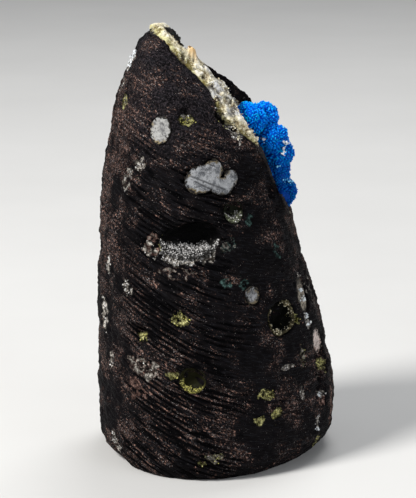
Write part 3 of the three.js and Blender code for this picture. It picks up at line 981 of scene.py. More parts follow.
# the least radius of a small rosette and its spread, as shares of its ball's radius
SMALL_RADIUS = (0.26, 0.30)
SMALL_SUNK = 0.70
SMALL_SCATTER = 0.25
GOLDEN_ANGLE = math.pi * (3 - math.sqrt(5))
UNEVEN = 0.04
BLADES_ON_BALL = 230
BLADES_ON_SMALL = 60
rng = np.random.default_rng(11)


def even_directions(count, rng):
    """Ways out of a ball that are spread evenly by the golden angle, and then jittered a little."""
    steps = np.arange(count) + 0.5
    height = 1 - 2 * steps / count
    angle = steps * GOLDEN_ANGLE + rng.random() * math.tau
    flat = np.sqrt(1 - height**2)
    ways = np.stack((flat * np.cos(angle), flat * np.sin(angle), height), axis=-1)
    ways += UNEVEN * rng.normal(size=ways.shape)
    return ways / np.linalg.norm(ways, axis=1)[:, None]


rosettes = []
for x, y, z, radius in BALLS:
    ball = np.array((x, y, z))
    rosettes.append((ball, radius, BLADES_ON_BALL))
    for way in even_directions(SMALL_ON_BALL, rng) + SMALL_SCATTER * rng.normal(size=(SMALL_ON_BALL, 3)):
        way /= np.linalg.norm(way)
        small = radius * (SMALL_RADIUS[0] + SMALL_RADIUS[1] * rng.random())
        rosettes.append((ball + way * (radius - SMALL_SUNK * small), small, BLADES_ON_SMALL))
print("rosettes:", len(rosettes))

# %% Blue blades
# where a blade starts and its tip's least reach and spread, as shares of its ball's radius
BLADE_START = 0.6
TIP_REACH = (0.91, 0.16)
# a tip this close to another ball's middle, as a share of its radius, is inside that ball
TIP_INSIDE = 0.9
TIP_LEAVE = 0.8
# least width and spread, as shares of the radius, how much wider on a small rosette, and the thickness
BLADE_WIDTH = (0.17, 0.12)
SMALL_WIDER = 1.8
BLADE_THICKNESS = 0.5
BLADE_LEAN = 0.07
cluster_tree = tree_of("cavansite_cluster")


def leaves_cluster(tip):
    place, normal, _, distance = cluster_tree.find_nearest(tip)
    return distance > TIP_LEAVE and (Vector(tip) - place).dot(normal) > 0


roots, ups, sizes = [], [], []
for middle, radius, count in rosettes:
    for way in even_directions(count, rng):
        reach = radius * (TIP_REACH[0] + TIP_REACH[1] * rng.random())
        tip = middle + way * reach
        inside = sum(np.linalg.norm(tip - other) < TIP_INSIDE * size for other, size, _ in rosettes)
        if inside or leaves_cluster(tip):
            continue
        start = BLADE_START * reach
        roots.append(middle + way * start)
        ups.append(way)
        wide = radius * (BLADE_WIDTH[0] + BLADE_WIDTH[1] * rng.random())
        wide *= 1.0 if count == BLADES_ON_BALL else SMALL_WIDER
        sizes.append((wide, BLADE_THICKNESS * wide, reach - start))
blade_form = crystal_form(4, 0.80, 0.9)
blue, blue_masks = grow(blade_form, np.array(roots), np.array(ups), np.array(sizes), rng, BLADE_LEAN)
print("blades:", len(roots))

# %% Cores under the blades, and the shade
CORE_SHARE = 0.84
# the cores take this tip value and so the deep root blue: painted shade under the blades
CORE_TONE = 0.3
# painted shade: the cluster is painted darker low in the pocket: heights, and how bright it is there
SHADE_HEIGHTS = (37, 41, 44, 47, 50)
SHADES = (0.38, 0.46, 0.66, 0.85, 1.0)
cores = bmesh.new()
for middle, radius, _ in rosettes:
    core = bmesh.ops.create_icosphere(cores, subdivisions=2, radius=CORE_SHARE * radius)["verts"]
    bmesh.ops.translate(cores, vec=middle, verts=core)
for mask, values in blue_masks.items():
    blue_masks[mask] = np.concatenate((values, np.full(len(cores.verts), CORE_TONE)))
core_mesh = bpy.data.meshes.new("cores")
cores.to_mesh(core_mesh)
cores.free()
blue.from_mesh(core_mesh)
bpy.data.meshes.remove(core_mesh)
blue_masks["shade"] = np.interp(places(blue)[:, 2], SHADE_HEIGHTS, SHADES)
print("corners of the cluster:", len(blue.verts))

# %% [markdown]
# ## Loose grains
# Grains of white zeolite lie here and there on the blue and on the rock's sides, cream ones lie beside the
# band, and a few of the cluster's blades are painted paler than the rest, as a painted highlight. They
# are few and have places of their own, so they are set as they show from the front, on whichever surface
# a ray from the camera meets.

# %% Grains placed in the front view
# across and up in the front view, and how many grains lie there
GRAINS_ON_BLUE = [(6.5, 15.8, 9), (9.95, 15.2, 12), (9.7, 14.4, 5), (9.65, 13.7, 7)]
# painted highlight: blades in a paler blue, where light catches the cluster
LIT_BLADES = [(10.0, 9.9, 5), (10.45, 9.7, 6), (10.75, 9.5, 4), (8.7, 11.9, 3), (9.5, 17.6, 3)]
GRAINS_ON_SIDE = [
    (12.1, -5.9, 8), (12.4, -7.2, 9), (12.95, -9.6, 10), (13.15, -10.8, 5), (14.7, -21.1, 7),
    (14.5, -25.8, 5), (-11.75, 28.2, 7), (-12.0, 27.6, 9), (-12.2, 27.0, 9), (-12.45, 26.3, 7),
]
GRAINS_BY_BAND = [(2.0, 19.1, 9), (2.3, 18.4, 9), (2.6, 17.6, 8), (2.9, 16.8, 7), (3.1, 15.9, 6)]
GRAIN_SPREAD = 0.17
GRAIN_LENGTH = (0.28, 0.25)
GRAIN_SUNK = 0.1
rng = np.random.default_rng(13)


def loose_grains(trees, spots):
    """Grains on whichever surface shows at the spots from the front."""
    roots = []
    for across, up, count in spots:
        for _ in range(count):
            sideways, upwards_by = GRAIN_SPREAD * rng.normal(size=2)
            met = [seen_on(tree, across + sideways, up + upwards_by) for tree in trees]
            met = [place for place in met if place]
            if met:
                roots.append(max(met, key=towards.dot))
    ups = np.tile(towards, (len(roots), 1))
    long = GRAIN_LENGTH[0] + GRAIN_LENGTH[1] * rng.random(len(roots))
    sizes = np.stack((0.8 * long, 0.7 * long, long), axis=-1)
    print("loose grains:", len(roots))
    return grow(STUB.form, np.array(roots) - GRAIN_SUNK * ups, ups, sizes, rng, STUB.lean)


blue_tree = BVHTree.FromBMesh(blue)
grains_on_blue = loose_grains([blue_tree], GRAINS_ON_BLUE)
lit_blades = loose_grains([blue_tree], LIT_BLADES)
grains_on_side = loose_grains([rock_tree, filling_tree], GRAINS_ON_SIDE)
grains_by_band = loose_grains([rock_tree], GRAINS_BY_BAND)

# %% [markdown]
# ## Fillings, sawn flush
# A bubble that is filled to the top was cut through with the rock, so its face is part of the sawn skin.
# The solid's own gap is closed by swelling it, and then every point that stands above the skin's sheet is
# pressed down onto it. Fine scratches follow the saw, and a mask marks the stained rim.

# %% Filling sizes
FILLING_QUAD = 0.13
FILLING_ROUNDS = 4
# how far a filling is swollen, in mm, and the two that are swollen less
SWELL = 0.3
SWELL_LESS = {"filling_lobed": 0.2, "filling_round": 0.12}
# sizes of the scratches' flat lumps: along x, along y and across the marks
FINE_SCRATCH = (1.6, 1.6, 0.3)
# two deep scratches on the front fillings, across and up in the front view
SCRATCHES = [[(-4.4, 10.7), (1.3, 8.5)], [(-3.2, 9.7), (0.4, 8.0)]]


def mouth_of(name):
    """The mouth that a node of the frame fills, found from its box."""
    low, high = (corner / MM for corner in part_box(name))
    middle = (low + high) / 2
    axis_x = AXIS_X + AXIS_LEAN * middle.z
    azimuth = math.degrees(math.atan2(middle.x - axis_x, AXIS_Y - middle.y))
    side = Vector((math.cos(math.radians(azimuth)), math.sin(math.radians(azimuth)), 0))
    half_width = (abs(side.x) * (high.x - low.x) + abs(side.y) * (high.y - low.y)) / 2
    return Mouth(azimuth, middle.z, half_width, (high.z - low.z) / 2)


# %% Filling shapes
def scratches_on(skin):
    """1 on the two deep scratches, which end softly, and 0 away from them."""
    across, up = front_view(skin)
    scratch = np.zeros(len(skin))
    for line in SCRATCHES:
        left, right = line[0][0], line[1][0]
        within = ramp(np.abs(across - left), 0, 0.1) * ramp(np.abs(across - right), 0, 0.1)
        depth = ramp(np.abs(over_line(across, up, line)), 0.22, 0.05) * within
        scratch = np.maximum(scratch, depth * ((across > left) & (across < right)))
    return scratch


def sawn_filling(name):
    """The filling as a bmesh that ends on the skin's sheet, and its masks."""
    mouth = mouth_of(name)
    bm = even_quads(copy_in_mm(name), FILLING_QUAD)
    relax(bm, FILLING_ROUNDS)
    skin = places(bm)
    skin += (SWELL_LESS.get(name, SWELL) + 0.05 * cloud(skin, 0.9, 31))[:, None] * facing(bm)
    above = mouth.local(skin)[2]
    bent = np.stack((skin[:, 0], skin[:, 1], saw_level(skin)), axis=-1)
    target = -0.03 + 0.05 * cloud(bent, FINE_SCRATCH, 32) + 0.04 * cloud(skin, 0.6, 33)
    skin -= np.maximum(above - target, 0)[:, None] * np.array(mouth.out)
    put_back(bm, skin)
    deep = skin[above < target - 0.02]
    gaps = np.array([np.sqrt(((deep - p) ** 2).sum(1).min()) for p in skin])
    return bm, {"rim": gaps, "level": saw_level(skin), "scratch": scratches_on(skin)}


print("mouth of the round filling in mm:", [round(2 * half, 2) for half in mouth_of("filling_round").half])

# %% [markdown]
# ## Linings of the open bubbles
# In an open bubble the crystals grew best low down, where fluid gathered, so the lining is a bright bank
# at the bottom and thins out to bare dark rock at the top. Its top and its deep inside are also painted
# dark, as shade under the lip. The shell is swollen onto the rock, and then a hollow is pressed into it:
# its place and size, as shares of the mouth, leave a crescent or a ring. Tiny crystals are sown on what
# is left.

# %% Lining shapes
LINING_QUAD = 0.14
LINING_ROUNDS = 3
LINING_SWELL = 0.3
LEAST_DEPTH = 0.15
HOLLOW_DEPTH = 1.5
UNDER_SKIN = 0.12
# hollow's middle across and up, its half width and half height, the number of crystals, how much barer
# the top is than the bottom, as bare rock and as painted shade, how deep the crystals and the lit
# lining reach in mm, and where in the hollow they begin
LININGS = {
    "lining_back_vug": (0.1, 0.4, 1.0, 0.9, 600, 0.75, 4.0, 0.7),
    "lining_green_vug": (0.20, 0.30, 1.05, 1.14, 130, 0.9, 1.2, 0.7),
    "lining_large_vug": (-0.06, 0.62, 1.16, 1.24, 900, 0.95, 4.0, 0.58),
    "lining_pale_vug": (0.0, 0.42, 0.92, 1.0, 70, 0.8, 4.0, 0.7),
    "lining_square_vug": (0.0, 0.02, 0.86, 0.88, 130, 0.0, 0.8, 0.85),
}


def lining(name, rng):
    """The shell with its hollow, its mask, and the crystals sown on it."""
    across, up, wide, high, count, barer_and_shaded, reach, begin = LININGS[name]
    mouth = mouth_of(name)
    bm = even_quads(copy_in_mm(name), LINING_QUAD)
    relax(bm, LINING_ROUNDS)
    skin = places(bm)
    normals = facing(bm)
    out = np.array(mouth.out)
    to_open = np.array(mouth.middle) + out * mouth.sheet[0] - skin
    to_open /= np.linalg.norm(to_open, axis=1)[:, None]
    inner = np.maximum(ramp((normals * to_open).sum(1), 0.0, 0.3), ramp(normals @ out, 0.2, 0.5))
    skin += (LINING_SWELL * (1 - inner))[:, None] * normals
    u, v, above = mouth.local(skin)
    hollow = np.hypot((u / mouth.half[0] - across) / wide, (v / mouth.half[1] - up) / high)
    hollow *= 1 + 0.24 * cloud(skin, 1.0, 43) + 0.12 * cloud(skin, 0.4, 44)
    depth = LEAST_DEPTH + HOLLOW_DEPTH * min(mouth.half) * np.sqrt(np.clip(1.05 - hollow**2, 0, 1))
    skin -= (np.maximum(above + depth, 0) * np.where(inner > 0.3, 1, 0))[:, None] * out
    skin -= np.maximum(mouth.local(skin)[2] + UNDER_SKIN, 0)[:, None] * out
    skin += ((0.10 * cloud(skin, 0.6, 41) + 0.07 * cloud(skin, 0.3, 42)) * inner)[:, None] * normals
    put_back(bm, skin)
    # the bright mask: mineral low in the hollow and near its mouth. The top is partly bare rock and partly
    # painted shade, and deeper than reach it is painted shade
    low = ramp(v / mouth.half[1] + 0.5 * cloud(skin, 0.9, 45), 0.5, -0.6)
    bright = ramp(hollow, begin, 0.98) * (1 - barer_and_shaded + barer_and_shaded * low)
    bright = bright * ramp(mouth.local(skin)[2], -reach, -0.4 * reach)
    return bm, {"bright": bright}, sow(SUGAR, bm, count, rng, inner * (bright**1.5 + 0.02))


print("linings:", len(LININGS), "crystals on them:", sum(row[4] for row in LININGS.values()))

# %% [markdown]
# ## Crystals on the patches
# The mineral patches on the rock are not paint: they are crusts of tiny crystals. So crystals are sown on
# the rock as well, as densely as the white and the yellow masks say.

# %% Patch crystals
PATCHES = {"white": 1500, "yellow": 450}
rng = np.random.default_rng(23)
patch_crystals = {}
for mask, count in PATCHES.items():
    patch_crystals[mask] = sow(PATCH_GRAIN, rock, count, rng, ramp(masks[mask], 0.6, 0.95))
    for vert in patch_crystals[mask][0].verts:
        vert.co.z = max(vert.co.z, 0)
    print(mask, "patch crystals:", count)

# %% [markdown]
# ## Two patterns shared by the finishes
# All these minerals are grains, so two node groups make the patterns for all of them. `speckle` cuts the
# surface into small round cells, like packed crystals, and lets a cell be a speck if its own random number
# is under `Cover`. `flecks` makes ragged stains of many sizes: fine noise shows where it stands over a
# threshold, and `Cover` lowers the threshold.

# %% A group for a pattern
def pattern_group(name, results):
    """A new group with Place, Size and Cover going in, and a painter, its ends and the scaled place."""
    group = bpy.data.node_groups.new(name, "ShaderNodeTree")
    for given, kind in (("Place", "Vector"), ("Size", "Float"), ("Cover", "Float")):
        group.interface.new_socket(given, in_out="INPUT", socket_type="NodeSocket" + kind)
    for result in results:
        group.interface.new_socket(result, in_out="OUTPUT", socket_type="NodeSocketFloat")
    inside = Painter(name, group)
    given = inside.tree.nodes.new("NodeGroupInput").outputs
    result = inside.tree.nodes.new("NodeGroupOutput").inputs
    scaled = inside.add("VectorMath", {0: given["Place"]}, operation="SCALE")
    inside.plug(scaled.inputs["Scale"], inside.math("DIVIDE", 1.0, given["Size"]))
    return group, inside, given, result, scaled.outputs[0]


# %% Speckle and fleck groups
def speckle_group():
    """Specks, a random tone for each cell, a broad cloud and the grain's height."""
    group, inside, given, result, scaled = pattern_group("speckle", ("Specks", "Tone", "Cloud", "Grain"))
    wander = inside.add("TexNoise", {"Vector": scaled, "Scale": 0.8, "Detail": 2.0}).outputs["Color"]
    shifted = inside.add("VectorMath", {0: wander, 1: (1.3, 1.3, 1.3), 2: scaled}, operation="MULTIPLY_ADD")
    cells = inside.add("TexVoronoi", {"Vector": shifted.outputs[0], "Scale": 1.0}, feature="F1").outputs
    lots = inside.add("SeparateColor", {0: cells["Color"]}).outputs
    broad = inside.noise(scaled, 9.0, detail=3.0)
    swing = inside.times(inside.less(broad, 0.5), 2.2)
    chance = inside.times(given["Cover"], inside.plus(1.0, swing))
    chosen = inside.remap(inside.less(chance, lots[0]), -0.02, 0.02)
    round_off = inside.remap(cells["Distance"], 0.62, 0.40)
    fine = inside.noise(scaled, 1.0, detail=2.0, rough=0.6)
    inside.plug(result["Specks"], inside.times(chosen, round_off))
    inside.plug(result["Tone"], lots[1])
    inside.plug(result["Cloud"], broad)
    inside.plug(result["Grain"], inside.plus(fine, inside.times(cells["Distance"], -0.6)))
    return group


def fleck_group():
    """Ragged flecks, and how bright they are from place to place."""
    group, inside, given, result, scaled = pattern_group("flecks", ("Flecks", "Bright"))
    grain = inside.noise(scaled, 1.0, detail=3.0, rough=0.65)
    threshold = inside.less(0.69, inside.times(given["Cover"], 0.21))
    inside.plug(result["Flecks"], inside.remap(inside.less(grain, threshold), 0.0, 0.05))
    bright = inside.remap(inside.noise(scaled, 1.3, detail=3.0, rough=0.65), 0.42, 0.70)
    inside.plug(result["Bright"], inside.times(bright, bright))
    return group


speckle = speckle_group()
flecks = fleck_group()
print("pattern groups:", speckle.name, "and", flecks.name)


# %% Helpers of several finishes
def patterned(painter, group, place, size, cover):
    return painter.add("Group", {"Place": place, "Size": size, "Cover": cover}, node_tree=group).outputs


def along_saw(painter, place, share):
    """The place with its plan squeezed, so that a pattern on it is drawn out along the saw lines."""
    parts = painter.add("SeparateXYZ", {0: place}).outputs
    flat = {axis: painter.times(parts[axis], share) for axis in (0, 1)}
    return painter.add("CombineXYZ", {**flat, 2: painter.attribute("level")}).outputs[0]


def shade(colour, share):
    """The colour made darker, or brighter up to white."""
    return tuple(min(1.0, share * part) for part in colour)


# %% [markdown]
# ## The basalt's finish
# Fresh basalt is nearly black. Iron has turned some of its grains rust brown. The grooves of the saw
# marks are painted dark, as shade, and keep little rust, so the flecks show most on the ridges between
# them. Tiny pale feldspar needles are painted bright, as glints, and a painted sheen lies on the ridges'
# scratches. The flecks come in swarms: their cover is the product of the ridges, of regions some
# millimetres wide and of bands along the saw. The minerals of the small bubbles lie over all that, and
# noise frays their edges.

# %% Bare basalt and its rust
def rust_cover(p, place, lit_ridge, swarm, sawn_mask):
    """How much rust each place has: most on the ridges, in the swarms and in bands along the saw.
    The grooves between the ridges are painted in shade and get little.
    """
    lift = p.times(p.less(swarm, 0.45), 0.32)
    regions = p.plus(p.noise(place, 4.0, detail=3.0, rough=0.6), lift)
    region = p.remap(regions, 0.40, 0.60, 0.06, 1.0)
    band = p.remap(p.noise(along_saw(p, place, 0.16), 0.8, detail=2.0), 0.38, 0.60, 0.40, 1.0)
    band = p.math("MAXIMUM", band, p.remap(sawn_mask, 0.1, 0.8, 0.8, 0.0))
    return p.times(lit_ridge, p.times(region, band))


def bare_basalt(p, place, cover, lit_ridge, sawn_mask, scratches):
    """Black rock, painted darker in the grooves as shade, grainy where it is worn, brownish under the
    rust, with a painted sheen on the scratches of the ridges.
    """
    colour = p.mix(p.times(p.noise(place, 2.0), lit_ridge), (0.0005, 0.0005, 0.0008), (0.0085, 0.0075, 0.0085))
    granular = p.remap(p.noise(place, 0.26, detail=3.0, rough=0.75), 0.47, 0.64)
    colour = p.mix(p.times(granular, p.attribute("worn")), colour, (0.044, 0.037, 0.043))
    colour = p.mix(p.times(p.times(cover, granular), 0.8), colour, (0.020, 0.012, 0.010))
    # painted sheen: grey-blue streaks along the saw's scratches on the ridges
    painted_sheen = p.times(p.remap(scratches, 0.52, 0.70), p.times(sawn_mask, lit_ridge))
    return p.mix(p.times(painted_sheen, 0.7), colour, (0.014, 0.0145, 0.018))


def rusted(p, colour, place, drawn, cover, swarm):
    """The colour under rust flecks that are drawn out along the saw, and under pale feldspar
    specks that are painted bright as glints.
    """
    rust = patterned(p, flecks, drawn, 0.24, cover)
    # painted highlight: sparse pale feldspar specks, painted bright as glints
    feldspar_glints = patterned(p, flecks, p.shift(place, (5, 9, 2)), 0.17, p.times(p.plus(cover, 0.2), 0.5))
    vivid = p.plus(rust["Bright"], p.times(swarm, 0.06))
    colour = p.mix(rust["Flecks"], colour, p.mix(vivid, (0.018, 0.010, 0.008), (0.42, 0.25, 0.20)))
    return p.mix(feldspar_glints["Flecks"], colour, p.mix(feldspar_glints["Bright"], (0.06, 0.055, 0.06), (0.66, 0.60, 0.58)))


# %% Mineral patches
# each mineral's dark gaps and its light crystals
PATCH_COLOURS = {
    "pink": ((0.025, 0.012, 0.010), (0.48, 0.31, 0.26)),
    "yellow": ((0.020, 0.018, 0.004), (0.78, 0.75, 0.34)),
    "teal": ((0.008, 0.016, 0.014), (0.14, 0.25, 0.23)),
    "white": ((0.020, 0.017, 0.014), (0.74, 0.69, 0.62)),
}
INLAY_RIM = (0.20, 0.17, 0.13)


def patched(p, colour, place):
    """The colour under the four minerals, whose edges are ragged, and under a pale rim round the inlays."""
    ragged = p.plus(p.noise(place, 0.35, detail=2.0), p.noise(place, 1.0, detail=2.0))
    shreds = p.times(p.less(ragged, 1.0), 0.9)
    sugar = patterned(p, speckle, place, 0.20, 0.9)
    blocks = p.noise(place, 0.5, detail=3.0, rough=0.7)
    body = p.times(p.remap(blocks, 0.40, 0.56), p.plus(0.5, p.times(sugar["Tone"], 0.5)))
    highlight_peaks = p.remap(blocks, 0.54, 0.64)
    for mask, (dark, light) in PATCH_COLOURS.items():
        strength = p.remap(p.attribute(mask), 0.45, 0.95, 0.3, 1.0)
        # painted shade and highlight: the mid tone is the light colour darkened to 0.45, and the peaks of the
        # blocks are painted highlights
        crystal = p.mix(p.times(body, strength), dark, shade(light, 0.45))
        crystal = p.mix(p.times(highlight_peaks, strength), crystal, light)
        colour = p.mix(p.remap(p.plus(p.attribute(mask), shreds), 0.42, 0.58), colour, crystal)
    near_inlay = p.plus(p.attribute("inlay"), p.times(shreds, 0.5))
    return p.mix(p.remap(near_inlay, 0.36, 0.22, 0.0, 0.6), colour, INLAY_RIM)


# %% Basalt material
def basalt_finish():
    p = Painter("basalt")
    place = p.in_mm()
    sawn_mask = p.attribute("sawn")
    swarm = p.attribute("swarm")
    # painted shade: the ridge mask falls to a tenth in the grooves, which are painted darker and keep out the
    # rust and the sheen
    lit_ridge = p.remap(p.attribute("groove"), 0.05, 0.55, 1.0, 0.1)
    drawn = p.add("Mix", {0: sawn_mask, 4: place, 5: along_saw(p, place, 0.7)}, data_type="VECTOR").outputs[1]
    scratches = p.noise(along_saw(p, place, 0.12), 0.16, detail=2.0)
    cover = rust_cover(p, place, lit_ridge, swarm, sawn_mask)
    colour = bare_basalt(p, place, cover, lit_ridge, sawn_mask, scratches)
    colour = rusted(p, colour, place, drawn, cover, swarm)
    colour = patched(p, colour, place)
    low = p.bump(p.times(scratches, sawn_mask), 0.10, 0.8)
    normal = p.bump(p.noise(drawn, 0.22, detail=3.0, rough=0.65), 0.20, 1.0, low)
    roughness = p.remap(scratches, 0.3, 0.7, 0.75, 0.5)
    return p.finish(Base_Color=colour, Roughness=roughness, Normal=normal, Specular_IOR_Level=0.025)


as_piece(rock, "basalt_rock", basalt_finish(), ["basalt_matrix"], masks)

# %% [markdown]
# ## Finishes for the pale minerals
# The crust is cream with yellow iron stain and grey, glassy patches. Fillings are grey white, scratched
# along the saw and tan at the rim. Linings run from bare rock to bright mineral by their mask.

# %% The crust's material
def bare_wall(p, place):
    """The pocket's dark wall beyond the crust: grainy in front, rusty, with a pale vein and a teal peak."""
    granular = p.remap(p.noise(place, 0.3, detail=3.0, rough=0.7), 0.44, 0.64)
    wall = p.mix(p.times(granular, p.attribute("front")), (0.003, 0.003, 0.0035), (0.045, 0.038, 0.044))
    rust = patterned(p, flecks, place, 0.3, 0.5)
    wall = p.mix(rust["Flecks"], wall, p.mix(rust["Bright"], (0.012, 0.008, 0.006), (0.20, 0.13, 0.10)))
    teal = patterned(p, flecks, p.shift(place, (9, 4, 2)), 0.7, 0.35)
    wall = p.mix(p.times(teal["Flecks"], p.attribute("peak")), wall, (0.10, 0.22, 0.20))
    return p.mix(p.attribute("streak"), wall, (0.46, 0.27, 0.20))


def crust_finish():
    """Cream crystals with painted shade in their gaps and painted highlights on their lumps, with
    stain, glassy patches, specks, holes painted dark as shade and the orange crystal.
    """
    p = Painter("cream_crust")
    place = p.in_mm()
    fine = p.less(p.noise(place, 0.4, detail=3.0, rough=0.65), 0.5)
    broad = p.less(p.noise(place, 1.6, detail=3.0), 0.5)
    relief = p.plus(p.attribute("high"), p.times(fine, 1.8))
    # painted shade and highlight: low places of the lumps and of the bump are brown, the highest near white;
    # the stain and the glassy patches below are painted darker in the same low places
    colour = p.mix(p.remap(relief, 0.0, 0.45), (0.28, 0.21, 0.11), (0.66, 0.60, 0.41))
    colour = p.mix(p.remap(relief, 0.45, 0.90), colour, (0.88, 0.85, 0.75))
    wavering = p.plus(p.attribute("in_band"), p.times(broad, 3.5))
    stain = p.remap(wavering, 1.7, 0.5, 0.0, 0.8)
    colour = p.mix(stain, colour, p.mix(p.remap(relief, 0.2, 0.9), (0.16, 0.13, 0.02), (0.72, 0.68, 0.30)))
    glassy = p.remap(p.less(wavering, p.times(fine, 3.0)), 2.6, 3.4, 0.0, 0.6)
    glassy = p.math("MAXIMUM", glassy, p.times(p.attribute("glassy"), 0.8))
    colour = p.mix(glassy, colour, p.mix(p.remap(relief, 0.1, 0.9), (0.10, 0.10, 0.11), (0.50, 0.51, 0.54)))
    specks = patterned(p, flecks, place, 0.3, 0.15)
    colour = p.mix(p.times(specks["Flecks"], 0.8), colour, (0.12, 0.075, 0.03))
    # painted shade: the holes are painted dark brown
    colour = p.mix(p.times(p.attribute("hole"), 0.92), colour, (0.045, 0.025, 0.015))
    colour = p.mix(p.attribute("bump"), colour, (0.78, 0.52, 0.24))
    colour = p.mix(p.attribute("bare"), colour, bare_wall(p, place))
    normal = p.bump(fine, 0.12, 0.9, p.bump(p.noise(place, 0.15, detail=2.0), 0.04, 0.7))
    roughness = p.remap(glassy, 0.0, 0.8, 0.65, 0.35)
    return p.finish(Base_Color=colour, Roughness=roughness, Normal=normal, Specular_IOR_Level=0.25)


# %% Materials of crystals, fillings and linings
def crystal_finish(name, root, tip, rough, dull_share):
    """Small free crystals: painted shade at the root, clear and glossy at the tip, each with its own tint."""
    p = Painter(name)
    colour = p.mix(p.remap(p.attribute("tip"), 0.1, 0.8), root, tip)
    dull = p.remap(p.attribute("tint"), 0.25, 0.95, 0.0, dull_share)
    colour = p.mix(dull, colour, shade(tip, 0.10))
    normal = p.bump(p.noise(p.in_mm(), 0.12), 0.03, 0.6)
    roughness = p.remap(p.attribute("tint"), 0.0, 1.0, rough, rough + 0.25)
    return p.finish(Base_Color=colour, Roughness=roughness, Normal=normal)


def filling_finish(name, dark, light, stain):
    """Zeolite sawn flush: mottled, scratched along the saw, and stained here and there at the rim."""
    p = Painter(name)
    place = p.in_mm()
    streak = p.noise(along_saw(p, place, 0.2), 0.34, detail=3.0)
    blot = p.noise(place, 1.1, detail=4.0, rough=0.7)
    colour = p.mix(p.remap(blot, 0.36, 0.60), dark, light)
    pores = patterned(p, flecks, place, 0.3, p.remap(p.noise(place, 1.6), 0.40, 0.62, 0.1, 0.75))
    colour = p.mix(p.times(pores["Flecks"], 0.75), colour, shade(dark, 0.45))
    bright = patterned(p, speckle, place, 0.2, 0.35)
    glints = p.times(bright["Specks"], p.times(bright["Tone"], 0.6))
    colour = p.mix(glints, colour, shade(light, 1.5))
    cuts = p.math("MAXIMUM", p.remap(streak, 0.60, 0.70, 0.0, 0.8), p.times(p.attribute("scratch"), 0.8))
    colour = p.mix(cuts, colour, shade(dark, 0.3))
    ragged = p.times(p.less(p.noise(place, 0.45), 0.5), 1.3)
    edge = p.plus(p.attribute("rim"), ragged)
    stained = p.times(p.remap(edge, 0.50, 0.28), p.remap(p.noise(place, 1.8), 0.48, 0.60))
    colour = p.mix(stained, colour, stain)
    colour = p.mix(p.remap(edge, 0.22, 0.12), colour, (0.012, 0.010, 0.009))
    normal = p.bump(streak, 0.10, 0.7, p.bump(p.noise(place, 0.15, detail=2.0), 0.05, 0.7))
    roughness = p.remap(streak, 0.3, 0.7, 0.45, 0.7)
    return p.finish(Base_Color=colour, Roughness=roughness, Normal=normal, Specular_IOR_Level=0.25)


def lining_finish(name, dark, bright):
    """The shell under the crystals: bare rock, dark as painted shade in the hollow, with packed grains
    where its mask is bright.
    """
    p = Painter(name)
    place = p.in_mm()
    specks = patterned(p, speckle, place, 0.18, 0.55)
    reach = p.plus(p.attribute("bright"), p.times(p.less(specks["Cloud"], 0.5), 1.2))
    sugar = p.times(specks["Specks"], p.remap(specks["Tone"], 0.2, 0.9))
    # painted shade: between the grains lies their own colour darkened to 0.12
    colour = p.mix(sugar, shade(bright, 0.12), bright)
    colour = p.mix(p.remap(reach, 0.35, 0.85), dark, colour)
    normal = p.bump(specks["Grain"], 0.12, 0.8)
    roughness = p.remap(specks["Cloud"], 0.3, 0.7, 0.35, 0.7)
    return p.finish(Base_Color=colour, Roughness=roughness, Normal=normal, Specular_IOR_Level=0.05)


# %% [markdown]
# ## The blue of cavansite
# The blades are clear, so light goes in and comes out again beside it, and a little subsurface scattering
# gives some of that. The rest is painted: by the blades' own mask the colour runs from a deep blue at the
# root, painted shade in the gaps, to a pale blue at the tip, a painted glow; broad patches of painted
# light brighten the tips, and another mask paints shade on the balls low in the pocket.

# %% The cavansite's material
def cavansite_finish():
    """Blue blades: deep blue in the gaps as painted shade, bright and a little green at the tips as a
    painted glow, and darker low in the pocket as painted shade.
    """
    p = Painter("cavansite_blue")
    tip = p.attribute("tip")
    tint = p.attribute("tint")
    # painted shade and glow: deep blue at the roots, in the gaps, and pale blue at the tips
    colour = p.mix(p.remap(tip, 0.25, 0.85), (0.0, 0.09, 0.58), (0.0, 0.27, 1.0))
    # painted light: broad patches where the tips are brightened to a cyan blue
    lit_patches = p.remap(p.noise(p.in_mm(), 1.5, detail=2.0), 0.50, 0.66)
    bright = p.times(p.remap(tip, 0.5, 1.0), p.plus(p.times(tint, 0.45), lit_patches))
    colour = p.mix(p.times(bright, p.attribute("shade")), colour, (0.0, 0.55, 1.0))
    # painted shade: the balls are darkened low in the pocket by the shade mask
    colour = p.mix(p.attribute("shade"), (0.0, 0.008, 0.06), colour)
    normal = p.bump(p.noise(p.in_mm(), 0.1), 0.03, 0.4)
    return p.finish(Base_Color=colour, Roughness=p.remap(tint, 0.0, 1.0, 0.3, 0.55), Normal=normal,
                    Specular_IOR_Level=0.05, Subsurface_Weight=0.3, Subsurface_Radius=(0.02, 0.3, 1.0),
                    Subsurface_Scale=0.4 * MM)


# %% Every finish by its name
# root, dark as painted shade, and tip, how rough, and how much of a dull crystal is dark
CRYSTALS = {
    "cream_crystals": ((0.30, 0.22, 0.10), (0.85, 0.80, 0.62), 0.25, 0.9),
    "white_crystals": ((0.16, 0.15, 0.14), (0.90, 0.89, 0.88), 0.2, 0.9),
    "bright_crystals": ((0.60, 0.64, 0.68), (0.90, 0.95, 0.98), 0.15, 0.1),
    # painted highlight: a lit copy of the cavansite's blue
    "lit_blue": ((0.02, 0.35, 0.85), (0.30, 0.78, 1.0), 0.2, 0.1),
    "yellow_crystals": ((0.10, 0.095, 0.015), (0.72, 0.68, 0.20), 0.25, 0.9),
}
